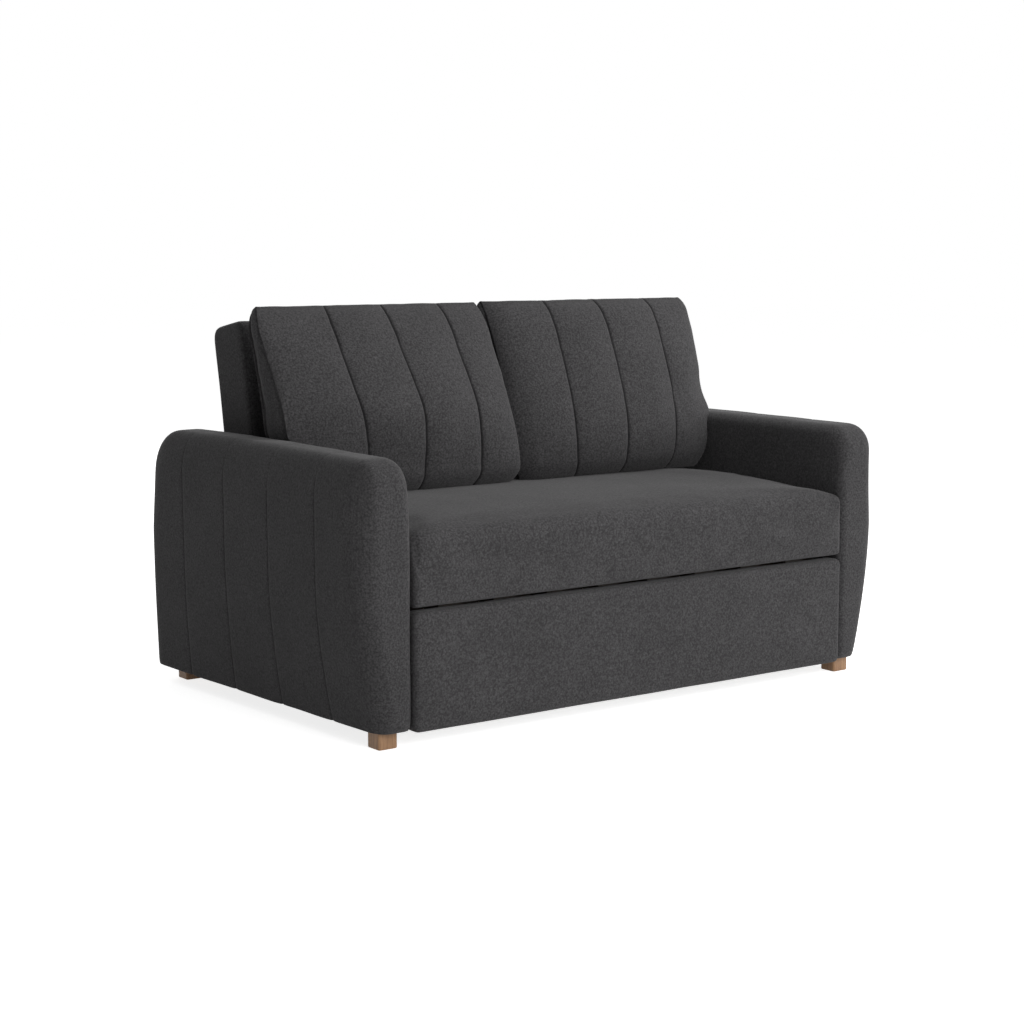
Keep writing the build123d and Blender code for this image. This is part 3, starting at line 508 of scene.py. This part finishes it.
def grained_timber(name, early, late, ring, along, roughness):
    """Planed timber: rings cut lengthways show as long grain lines, with fine pores between."""
    material, tree, surface = new_finish(name)
    place = node(tree, "ShaderNodeTexCoord").outputs["Object"]
    stretch = [1.0 / ring] * 3
    stretch["XYZ".index(along)] = 0.06 / ring
    grain = node(tree, "ShaderNodeMapping", [("Vector", place), ("Scale", stretch)])
    lines = node(
        tree, "ShaderNodeTexNoise",
        [
            ("Vector", grain.outputs["Vector"]), ("Scale", 1.0), ("Detail", 5.0), ("Roughness", 0.6),
            ("Distortion", 0.8),
        ])
    pores = node(
        tree, "ShaderNodeTexNoise",
        [("Vector", grain.outputs["Vector"]), ("Scale", 9.0), ("Detail", 2.0)])
    bands = node(
        tree, "ShaderNodeMapRange",
        [("Value", lines.outputs["Fac"]), ("From Min", 0.35), ("From Max", 0.65)])
    colour = node(
        tree, "ShaderNodeMix",
        [("Factor", bands.outputs["Result"]), (6, linear(early) + (1,)), (7, linear(late) + (1,))],
        data_type="RGBA")
    bump = node(
        tree, "ShaderNodeBump",
        [("Strength", 0.25), ("Distance", 0.0004), ("Height", pores.outputs["Fac"])])
    tree.links.new(colour.outputs[2], surface.inputs["Base Color"])
    tree.links.new(bump.outputs["Normal"], surface.inputs["Normal"])
    surface.inputs["Roughness"].default_value = roughness
    return material


def mottled(name, base, other, size, roughness, metallic=0.0, relief=0.0003):
    """A plain made surface: a coat, sheet or moulding with faint mottling and fine texture."""
    material, tree, surface = new_finish(name)
    place = node(tree, "ShaderNodeTexCoord").outputs["Object"]
    spots = node(
        tree, "ShaderNodeTexNoise",
        [("Vector", place), ("Scale", 1 / size), ("Detail", 4.0), ("Roughness", 0.6)])
    spread = node(
        tree, "ShaderNodeMapRange",
        [("Value", spots.outputs["Fac"]), ("From Min", 0.35), ("From Max", 0.65)])
    colour = node(
        tree, "ShaderNodeMix",
        [("Factor", spread.outputs["Result"]), (6, linear(base) + (1,)), (7, linear(other) + (1,))],
        data_type="RGBA")
    bump = node(
        tree, "ShaderNodeBump",
        [("Strength", 0.3), ("Distance", relief), ("Height", spots.outputs["Fac"])])
    tree.links.new(colour.outputs[2], surface.inputs["Base Color"])
    tree.links.new(bump.outputs["Normal"], surface.inputs["Normal"])
    surface.inputs["Roughness"].default_value = roughness
    surface.inputs["Metallic"].default_value = metallic
    return material


# The sofa's pieces


class LOVESEAT_OT_arms(bpy.types.Operator):
    """Make the two padded arms with their channel seams."""

    bl_idname = "loveseat.arms"
    bl_label = "Arms"

    def execute(self, context):
        forms = context.scene.loveseat_forms
        low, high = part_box("right_arm_cover")
        inner_swell = 0.003
        inner, outer = low.x - inner_swell, high.x
        front, rear, base, top = low.y, high.y, low.z, high.z
        half = (rear - front) / 2
        sweep = (half**2 + forms.arm_crown**2) / (2 * forms.arm_crown)
        drop = forms.draw_height - base

        def distance(p):
            x, y, z = p.T
            crown = np.hypot(y, z - (top - sweep)) - sweep
            side = round_meet(crown, front - y, forms.front_shoulder)
            side = round_meet(side, y - rear, forms.rear_shoulder)
            base_width = np.interp(y, (front, rear), (forms.front_base, forms.rear_base))
            draw = outer - inner - base_width
            side_sweep = (drop**2 + draw**2) / (2 * draw)
            drawn = np.hypot(x - outer + side_sweep, z - forms.draw_height) - side_sweep
            wall = np.where(z < forms.draw_height, drawn, x - outer)
            # The outer edge rolls over far down the side. The inner edge is crisp below its top
            roll = np.interp(z, (0.36, 0.50), (0.055, forms.outer_drop))
            crisp = np.interp(z, (0.49, 0.56), (0.016, forms.inner_edge))
            solid = round_meet(side, wall * roll / forms.outer_edge, roll)
            solid = round_meet(solid, inner - x, crisp)
            return round_meet(solid, base - 0.0005 - z, 0.003)

        seams = [front + forms.first_seam + k * forms.seam_pitch for k in range(4)]
        xs = spaced(inner, outer, 0.011)
        ys = spaced(front, rear, 0.014, seams)
        zs = spaced(base - 0.001, top, 0.015)
        points, quads = crate([shares_of(xs), shares_of(ys), shares_of(zs)])
        corner = np.array([inner, front, zs[0]])
        points = corner + points * (np.array([outer, rear, zs[-1]]) - corner)
        # A thin upright core, well inside the arm at every height
        core_low = np.array([inner + 0.035, front + 0.08, base + 0.004])
        core_high = np.array([inner + 0.045, rear - 0.12, top - 0.12])
        places = wrap(points, core_low, core_high, distance)
        piece = make_piece("right_arm", places, quads)
        # The channels run up from the outer hem, fade near the top and end at the inner edge
        reach = np.clip((places[:, 0] - inner - 0.012) / 0.02, 0, 1)
        reach *= 1 - 0.6 * np.clip((places[:, 2] - 0.5) / 0.08, 0, 1)
        dent, mark = np.zeros(len(places)), np.zeros(len(places))
        for seam in seams:
            offset = places[:, 1] - seam
            # A narrow line lies in a wide, shallow dip
            dent += valley(offset, 0.003) * forms.seam_depth * 0.35
            dent += valley(offset, 0.014) * 0.0006
            # The mark is painted shade: it darkens the tweed along the seam line, as the shade in its crease
            mark = np.maximum(mark, 0.62 * valley(offset, 0.0028))
        put_back(piece, places - normals_of(piece) * (reach * dent)[:, None])
        piece.data.attributes["seam"].data.foreach_set("value", (mark * reach).astype(np.float32))
        soften(piece, 0.0012, 0.13, 4.0)
        smoothed(piece)
        twin = mirrored(piece, "left_arm")
        settle(piece, "base", 0.8, "right_arm_cover", "right_arm_foam")
        settle(twin, "base", 0.8, "left_arm_cover", "left_arm_foam")
        return {"FINISHED"}


class LOVESEAT_OT_seat(bpy.types.Operator):
    """Make the bench seat cushion with its crowned top."""

    bl_idname = "loveseat.seat"
    bl_label = "Seat Cushion"

    def execute(self, context):
        forms = context.scene.loveseat_forms
        low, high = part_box("seat_cushion_cover")
        middle = (low.y + high.y) / 2
        half = (high.y - low.y) / 2
        sweep = (half**2 + forms.cushion_crown**2) / (2 * forms.cushion_crown)
        top = high.z
        low.y -= forms.face_reach

        def distance(p):
            x, y, z = p.T
            crown = np.hypot(y - middle, z - (top - sweep)) - sweep
            # The left end is plump, and the right end falls 14 mm to a crisp corner
            crown = crown + 0.014 * np.clip((x - 0.44) / 0.16, 0, 1) ** 2
            corner = 0.01 + np.where(x < 0, 0.03, 0) * np.clip((z - 0.34) / 0.08, 0, 1)
            around = round_meet(np.abs(x) - high.x, low.y - y, corner)
            around = round_meet(around, y - high.y, 0.01)
            lip = np.interp(x, (0.42, 0.58), (0.034, 0.014))
            return round_meet(round_meet(crown, around, lip), low.z - z, 0.009)

        xs = with_ends(spaced(low.x, high.x, 0.02), 0.005, 0.01, 0.015)
        ys = spaced(low.y, high.y, 0.016)
        zs = spaced(low.z, high.z, 0.011)
        points, quads = crate([shares_of(xs), shares_of(ys), shares_of(zs)])
        points = np.array(low) + points * np.array(high - low)
        inset = np.array([0.02, 0.045, 0.045])
        places = wrap(points, np.array(low) + inset, np.array(high) - inset, distance)
        piece = make_piece("seat_cushion", places, quads)
        # The cover is held where it lies on the deck, between the arms and against the backrest
        under = np.clip((low.z + 0.03 - places[:, 2]) / 0.02, 0, 1)
        beside = np.clip((np.abs(places[:, 0]) - high.x + 0.01) / 0.008, 0, 1)
        behind = np.clip((places[:, 1] - high.y + 0.02) / 0.015, 0, 1)
        swell(piece, np.maximum(np.maximum(under, beside), behind), 1.2, 0.006, slack=0.01)
        soften(piece, 0.0016, 0.16, 11.0)
        smoothed(piece)
        settle(piece, "base", 0.8, "seat_cushion_cover", "seat_cushion_foam")
        return {"FINISHED"}


# Each back cushion from its foot to its head: height as a share, then in metres the reach in front
# of the backrest at the middle, at the outer side and at the inner side, the rear edge of the
# sides and of the middle, and the width as a share
PILLOW_ROWS = {
    "left": np.array((
        (0.000, 0.158, 0.142, 0.152, 0.080, 0.005, 0.965),
        (0.066, 0.190, 0.165, 0.182, 0.084, 0.000, 0.998),
        (0.150, 0.203, 0.176, 0.192, 0.088, 0.000, 0.994),
        (0.307, 0.224, 0.190, 0.188, 0.094, 0.000, 0.990),
        (0.450, 0.231, 0.186, 0.172, 0.097, 0.000, 0.990),
        (0.596, 0.207, 0.163, 0.154, 0.092, 0.000, 0.990),
        (0.740, 0.175, 0.140, 0.131, 0.085, 0.000, 0.995),
        (0.883, 0.142, 0.118, 0.108, 0.077, 0.005, 0.998),
        (0.962, 0.110, 0.102, 0.088, 0.068, 0.020, 0.992),
        (1.000, 0.086, 0.084, 0.076, 0.056, 0.036, 0.978),
    )),
    "right": np.array((
        (0.000, 0.158, 0.140, 0.150, 0.075, 0.005, 0.905),
        (0.066, 0.190, 0.158, 0.160, 0.078, 0.000, 0.950),
        (0.150, 0.204, 0.170, 0.165, 0.082, 0.000, 0.982),
        (0.307, 0.211, 0.167, 0.165, 0.084, 0.000, 0.998),
        (0.450, 0.203, 0.140, 0.160, 0.084, 0.000, 0.994),
        (0.596, 0.187, 0.140, 0.150, 0.080, 0.000, 0.990),
        (0.740, 0.171, 0.131, 0.140, 0.074, 0.000, 0.995),
        (0.883, 0.152, 0.118, 0.125, 0.070, 0.005, 0.998),
        (0.962, 0.131, 0.110, 0.112, 0.066, 0.020, 0.994),
        (1.000, 0.108, 0.096, 0.096, 0.056, 0.036, 0.980),
    )),
}
# How the two differ otherwise: the seams across the front from -1 to 1, the share of the sink, how
# far the inner edge rolls back, the share of the spread over the arm, what the head loses of it, the
# power by which it grows outwards, and the place in the noise that shapes the padding
PILLOW_TRAITS = {
    "left": {
        "outwards": -1, "seams": [-0.42, 0.08, 0.61], "sink": 1.0, "roll": 0.004,
        "spread": 1.0, "head_loss": 0.6, "growth": 1.0, "seed": 21.0,
    },
    "right": {
        "outwards": 1, "seams": [-0.465, 0.035, 0.58], "sink": 0.6, "roll": 0.022,
        "spread": 0.92, "head_loss": 0.1, "growth": 0.7, "seed": 35.0,
    },
}
# Height of the arm's top, where a back cushion starts to spread over it
SPREAD_START = 0.572


def eased(rows, column, share):
    """A pillow row's value at any height, with no corners between the rows."""
    knots, values = rows[:, 0], rows[:, column]
    slopes = np.gradient(values, knots)
    k = np.clip(np.searchsorted(knots, share, side="right") - 1, 0, len(knots) - 2)
    width = knots[k + 1] - knots[k]
    t = (share - knots[k]) / width
    return (
        (2 * t**3 - 3 * t**2 + 1) * values[k] + (t**3 - 2 * t**2 + t) * width * slopes[k]
        + (3 * t**2 - 2 * t**3) * values[k + 1] + (t**3 - t**2) * width * slopes[k + 1]
    )


class LOVESEAT_OT_pillows(bpy.types.Operator):
    """Make the two loose back cushions with their sewn channels."""

    bl_idname = "loveseat.pillows"
    bl_label = "Back Cushions"

    def execute(self, context):
        forms = context.scene.loveseat_forms
        hinge = hinge_place()
        lean = forms.back_lean
        for side, traits in PILLOW_TRAITS.items():
            low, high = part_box(side + "_pillow_cover")
            wide, tall = high.x - low.x, high.z - low.z
            tall -= forms.pillow_sink * traits["sink"]
            centre = (low.x + high.x) / 2
            rows, seams, outwards = PILLOW_ROWS[side], traits["seams"], traits["outwards"]
            beside = [step / (wide / 2) for step in SEAM_STEPS]
            xs = spaced(-1, 1, 0.02 / (wide / 2), seams + [-1, 1], beside)
            ys = spaced(0, 1, 0.12)
            zs = spaced(0, 1, 0.015 / tall)
            share, quads = crate([shares_of(xs), ys, zs])
            across, back, up = 2 * share[:, 0] - 1, share[:, 1], share[:, 2]
            crest = np.clip((up - 0.85) / 0.15, 0, 1)
            z = low.z + up * tall - forms.head_slope * back * crest**2
            # The backrest's front face at each height, and 6 mm of room
            face = hinge[1] - forms.back_thickness / 2 / cos(lean)
            face = face + (z - hinge[2]) * sin(lean) / cos(lean) - 0.006
            middle = eased(rows, 1, up)
            side_reach = np.where(outwards * across > 0, eased(rows, 2, up), eased(rows, 3, up))
            y_front = face - middle + (middle - side_reach) * across**2
            bounds = np.array([-1] + seams + [1])
            channel = np.clip(np.searchsorted(bounds, across, side="right") - 1, 0, len(seams))
            run = (across - bounds[channel]) / (bounds[channel + 1] - bounds[channel])
            # Each channel bulges between its seams, less where the cushion is thin
            fullness = np.clip(middle / 0.2, 0, 1)
            y_front -= forms.pillow_bulge * fullness * (4 * run * (1 - run)) ** 0.8
            inner = np.clip((-outwards * across - 0.85) / 0.15, 0, 1)
            y_front += traits["roll"] * inner**2
            rear_side, rear_mid = eased(rows, 4, up), eased(rows, 5, up)
            y_rear = face - rear_mid - (rear_side - rear_mid) * across**2
            y = y_front + (y_rear - y_front) * back
            half = wide / 2 * eased(rows, 6, up) / rows[:, 6].max()
            # The side bands are fullest halfway back
            puff = 1 - 0.028 * (1 - (4 * back * (1 - back)))
            x = centre + half * across * np.where(np.abs(across) > 0.999, puff, 1)
            # Above its arm the cushion spreads outwards, sharply at its side and gently further in
            outer = (1 + outwards * across) / 2
            rise = 0.032 + 0.5 * (1 - outer)
            above = np.clip((z - SPREAD_START + 0.14 * (1 - outer)) / rise, 0, 1)
            spread = forms.pillow_spread * (traits["spread"] - traits["head_loss"] * crest**2)
            x += outwards * spread * outer ** traits["growth"] * above**2 * (3 - 2 * above)
            piece = make_piece(side + "_pillow", np.stack([x, y, z], 1), quads)
            # Sewn lines: three down the front, and round both edges of the side band. Their marks darken the tweed
            # as painted shade in the seam creases and along the band's edges.
            lines = np.zeros(len(x))
            for seam in seams:
                lines = np.maximum(lines, valley((across - seam) * wide / 2, 0.0026))
            lines = lines * np.clip(1 - back * 8, 0, 1)
            rim = ((back < 0.001) | (back > 0.999)) & ((np.abs(across) > 0.999) | (up > 0.999))
            mark = np.maximum(lines, 0.6 * rim)
            # The sewn lines, the foot and the back hold the cover
            pinned = np.maximum(lines, (up < 0.03) | (back > 0.97))
            pinned = np.maximum(pinned, rim * 0.9)
            swell(piece, pinned, 1.4, 0.006, slack=0.006)
            sewn = (lines * forms.seam_depth * 0.6)[:, None]
            put_back(piece, places_of(piece) - normals_of(piece) * sewn)
            piece.data.attributes["seam"].data.foreach_set("value", mark.astype(np.float32))
            soften(piece, 0.0012, 0.11, traits["seed"])
            smoothed(piece)
            settle(piece, side + "_pillow", 0.7, side + "_pillow_cover", side + "_pillow_core")
        return {"FINISHED"}


class LOVESEAT_OT_backrest(bpy.types.Operator):
    """Make the leaning backrest's padded cover."""

    bl_idname = "loveseat.backrest"
    bl_label = "Backrest"

    def execute(self, context):
        forms = context.scene.loveseat_forms
        low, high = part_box("back_cover")
        hinge = hinge_place()
        half = forms.back_thickness / 2
        lean = forms.back_lean

        def distance(p):
            x, out, up = p.T
            # The foot is a half round about the hinge line
            slab = np.where(up < 0, np.hypot(out, up), np.abs(out)) - half
            headed = round_meet(slab, up - forms.back_length, 0.026)
            return round_meet(headed, np.abs(x) - high.x, 0.012)

        xs = with_ends(spaced(low.x, high.x, 0.024), 0.004, 0.009, 0.015)
        outs = spaced(-half, half, 0.012)
        ups = spaced(-half, forms.back_length, 0.018)
        share, quads = crate([shares_of(xs), shares_of(outs), shares_of(ups)])
        start = np.array([low.x, -half, -half])
        points = start + share * (np.array([high.x, half, forms.back_length]) - start)
        core_low = np.array([low.x + 0.02, -0.02, 0.0])
        core_high = np.array([high.x - 0.02, 0.02, forms.back_length - 0.05])
        local = wrap(points, core_low, core_high, distance)
        # A line 6 mm in from each side edge, dented 1.2 mm, whose mark darkens the tweed there as painted shade
        edge = valley(np.abs(local[:, 0]) - (high.x - 0.006), 0.003)
        places = np.stack(
            [
                local[:, 0],
                hinge[1] + local[:, 1] * cos(lean) + local[:, 2] * sin(lean),
                hinge[2] - local[:, 1] * sin(lean) + local[:, 2] * cos(lean),
            ], 1)
        piece = make_piece("backrest_cover", places, quads, edge * 0.5)
        put_back(piece, places - normals_of(piece) * (edge * 0.0012)[:, None])
        soften(piece, 0.0016, 0.15, 7.0)
        smoothed(piece)
        settle(piece, "backrest", 0.8, "back_cover", "back_foam")
        return {"FINISHED"}


class LOVESEAT_OT_panels(bpy.types.Operator):
    """Make the padded front panel of the sliding bed and the thin rear panel."""

    bl_idname = "loveseat.panels"
    bl_label = "Panels"

    def execute(self, context):
        reach = context.scene.loveseat_forms.face_reach
        # Name, solid, body, outward side, edge radius, puff of the face, reach forward, wrap beneath
        rows = (
            ("front_panel", "front_panel_cover", "pull_out", -1, 0.014, 0.0022, reach, 0.0045),
            ("rear_panel", "rear_panel_cover", "base", 1, 0.006, 0.0008, 0.0, 0.0),
        )
        for name, cover, body, outwards, edge, puff, forward, beneath in rows:
            low, high = [np.array(corner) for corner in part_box(cover)]
            low[1:] -= forward, beneath
            high[2] += beneath * 0.4
            middle = (low + high) / 2
            half = (high - low) / 2

            def distance(p):
                a = np.abs(p - middle) - half
                outline = round_meet(a[:, 0], a[:, 2], edge)
                return round_meet(outline, a[:, 1], edge * 0.8)

            xs = with_ends(spaced(low[0], high[0], 0.022), 0.003, 0.007, 0.012)
            ys = spaced(low[1], high[1], 0.005)
            zs = with_ends(spaced(low[2], high[2], 0.018), 0.003, 0.007, 0.012)
            share, quads = crate([shares_of(xs), shares_of(ys), shares_of(zs)])
            inset = np.array([0.016, min(0.014, half[1] * 0.8), 0.016])
            places = wrap(low + share * (high - low), low + inset, high - inset, distance)
            piece = make_piece(name, places, quads)
            span = 1 - np.abs(places - middle) / half
            full = np.clip(span[:, 0] * 12, 0, 1) * np.clip(span[:, 2] * 3, 0, 1)
            facing = np.clip(outwards * normals_of(piece)[:, 1], 0, 1)
            places[:, 1] += outwards * full * facing * puff
            put_back(piece, places)
            soften(piece, 0.0007, 0.12, 17.0)
            smoothed(piece)
            settle(piece, body, 0.7, cover)
        return {"FINISHED"}


class LOVESEAT_OT_finishes(bpy.types.Operator):
    """Make every finish and give the timber, board, webbing and metal theirs."""

    bl_idname = "loveseat.finishes"
    bl_label = "Finishes"

    def execute(self, context):
        made = {
            "charcoal_tweed": charcoal_tweed(context.scene.loveseat_cloth),
            # Oiled rubberwood block feet: warm, close grain, a soft shine
            "oiled_wood": grained_timber("oiled_rubberwood", "#9f7a58", "#7f5e41", 0.004, "Z", 0.5),
            # Sawn softwood frame timber: pale, dry, open grain
            "frame_timber": grained_timber("sawn_pine", "#c9ac7c", "#b08f5e", 0.006, "X", 0.75),
            # Planed poplar slats, coloured dark as painted shade for the shadowed gap under the seat cushion:
            # smooth, long straight grain
            "slat_wood": grained_timber("stained_poplar", "#2a2018", "#1f1711", 0.005, "Y", 0.55),
            # Pressed hardboard: dark brown, one smooth side
            "hardboard": mottled("pressed_hardboard", "#6b4e33", "#5b4029", 0.004, 0.8),
            # Rotary-cut plywood: broad, wavy figure
            "plywood": grained_timber("rotary_cut_plywood", "#c5a274", "#b08c5e", 0.02, "X", 0.7),
            # Pressed wool felt pads: fuzzy and matt
            "felt_pad": mottled("pressed_felt", "#262626", "#343434", 0.002, 0.97, relief=0.0006),
            # Woven elastic webbing: black with a fine rib
            "webbing": mottled("woven_webbing", "#29292a", "#38383a", 0.0015, 0.9, relief=0.0006),
            # Powder-coated steel: satin black with a fine orange-peel texture
            "black_steel": mottled(
                "powder_coated_steel", "#161617", "#1e1e1f", 0.0012, 0.45, relief=0.0001),
            # Zinc-plated steel screws and pins: bright and slightly clouded
            "bright_steel": mottled(
                "zinc_plated_steel", "#b9babb", "#a6a8ab", 0.003, 0.32, 1.0, 0.00005),
            # Moulded castor tread: dark and soft-looking
            "castor_rubber": mottled("moulded_castor_rubber", "#1f1f20", "#2a2a2b", 0.003, 0.7),
            # Polyurethane foam and fibre fill inside the covers
            "foam": mottled("open_cell_foam", "#d9d0b4", "#cfc6a8", 0.0015, 0.95, relief=0.0008),
            "pillow_fill": mottled("fibre_fill", "#e3e2dd", "#d6d5d0", 0.004, 0.95, relief=0.0008),
        }
        for part in frame["record"]["subparts"]:
            piece = frame["nodes"][part["node"]]
            piece.data.materials.clear()
            piece.data.materials.append(made[part["material_slot"]])
        return {"FINISHED"}


class LOVESEAT_OT_stage(bpy.types.Operator):
    """Set up the floor, the lamps, the world and the camera."""

    bl_idname = "loveseat.stage"
    bl_label = "Stage"

    def execute(self, context):
        stage = context.scene.loveseat_stage
        scene = context.scene
        scene.view_settings.view_transform = "Standard"
        bpy.ops.object.select_all(action="DESELECT")
        bpy.ops.mesh.primitive_plane_add(size=40, location=(0, 0, 0))
        floor = context.object
        floor.name = "studio_floor"
        material, tree, surface = new_finish("pale_studio_floor")
        surface.inputs["Base Color"].default_value = tuple(stage.floor) + (1,)
        surface.inputs["Roughness"].default_value = 0.9
        surface.inputs["Specular IOR Level"].default_value = 0.0
        # A glow for the rays that show the floor brings it up to white, and its shadow stays
        glow = node(tree, "ShaderNodeEmission", [("Color", (1, 1, 1, 1)), ("Strength", 0.8)])
        dark = node(tree, "ShaderNodeEmission", [("Strength", 0.0)])
        seen = node(
            tree, "ShaderNodeMixShader",
            [(0, shown_rays(tree)), (1, dark.outputs[0]), (2, glow.outputs[0])])
        both = node(
            tree, "ShaderNodeAddShader", [(0, surface.outputs["BSDF"]), (1, seen.outputs[0])])
        output = [n for n in tree.nodes if n.type == "OUTPUT_MATERIAL"][0]
        tree.links.new(both.outputs[0], output.inputs["Surface"])
        floor.data.materials.append(material)

        world = bpy.data.worlds.new("studio_world")
        scene.world = world
        world.use_nodes = True
        tree = world.node_tree
        tree.nodes.clear()
        # The world lights the sofa softly, and shows as white
        soft = node(tree, "ShaderNodeBackground", [("Color", (1, 1, 1, 1)), ("Strength", 0.225)])
        white = node(tree, "ShaderNodeBackground", [("Color", (1, 1, 1, 1)), ("Strength", 1.0)])
        mixed = node(
            tree, "ShaderNodeMixShader",
            [(0, shown_rays(tree)), (1, soft.outputs[0]), (2, white.outputs[0])])
        node(tree, "ShaderNodeOutputWorld", [("Surface", mixed.outputs[0])])

        # Name, place, side of the square and power
        lamps = (
            ("key_lamp", (5.0, -3.5, 1.8), 2.4, stage.key),
            ("fill_lamp", (-0.5, -5.5, 2.6), 3.0, stage.fill),
            ("top_lamp", (2.2, -0.8, 3.6), 2.0, stage.top),
            ("rear_lamp", (1.8, 4.8, 2.6), 3.0, stage.rear),
        )
        for name, place, size, power in lamps:
            bpy.ops.object.light_add(type="AREA", location=place)
            lamp = context.object
            lamp.name = name
            lamp.data.shape = "SQUARE"
            lamp.data.size = size
            lamp.data.energy = power
            aim = Vector((0.0, 0.0, 0.35)) - Vector(place)
            lamp.rotation_euler = aim.to_track_quat("-Z", "Y").to_euler()

        # From the target back to the camera
        back = Vector((
            sin(stage.azimuth) * cos(stage.elevation),
            -cos(stage.azimuth) * cos(stage.elevation),
            sin(stage.elevation),
        ))
        camera_data = bpy.data.cameras.new("photo_camera")
        camera = bpy.data.objects.new("photo_camera", camera_data)
        scene.collection.objects.link(camera)
        camera_data.sensor_width = 36.0
        camera_data.lens = stage.lens
        camera.location = Vector(stage.target) + back * stage.distance
        camera.rotation_euler = (-back).to_track_quat("-Z", "Y").to_euler()
        scene.camera = camera
        return {"FINISHED"}


class LOVESEAT_PT_panel(bpy.types.Panel):
    """Sizes, colours and steps of the loveseat."""

    bl_idname = "LOVESEAT_PT_panel"
    bl_label = "Sleeper Loveseat"
    bl_space_type = "VIEW_3D"
    bl_region_type = "UI"
    bl_category = "Loveseat"

    def draw(self, context):
        for group in ("loveseat_forms", "loveseat_cloth", "loveseat_stage"):
            box = self.layout.box()
            settings = getattr(context.scene, group)
            for name in settings.__annotations__:
                box.prop(settings, name)
        for step in STEPS:
            self.layout.operator(step.bl_idname)


STEPS = (
    LOVESEAT_OT_finishes, LOVESEAT_OT_arms, LOVESEAT_OT_seat, LOVESEAT_OT_pillows,
    LOVESEAT_OT_backrest, LOVESEAT_OT_panels, LOVESEAT_OT_stage,
)
GROUPS = {
    "loveseat_forms": LoveseatForms,
    "loveseat_cloth": LoveseatCloth,
    "loveseat_stage": LoveseatStage,
}


def register():
    for group in GROUPS.values():
        bpy.utils.register_class(group)
    for name, group in GROUPS.items():
        setattr(bpy.types.Scene, name, bpy.props.PointerProperty(type=group))
    for step in STEPS + (LOVESEAT_PT_panel,):
        bpy.utils.register_class(step)


def unregister():
    for step in reversed(STEPS + (LOVESEAT_PT_panel,)):
        bpy.utils.unregister_class(step)
    for name in GROUPS:
        delattr(bpy.types.Scene, name)
    for group in reversed(list(GROUPS.values())):
        bpy.utils.unregister_class(group)


def main():
    register()
    bpy.ops.loveseat.finishes()
    bpy.ops.loveseat.arms()
    bpy.ops.loveseat.seat()
    bpy.ops.loveseat.pillows()
    bpy.ops.loveseat.backrest()
    bpy.ops.loveseat.panels()
    bpy.ops.loveseat.stage()


if __name__ == "__main__":
    main()
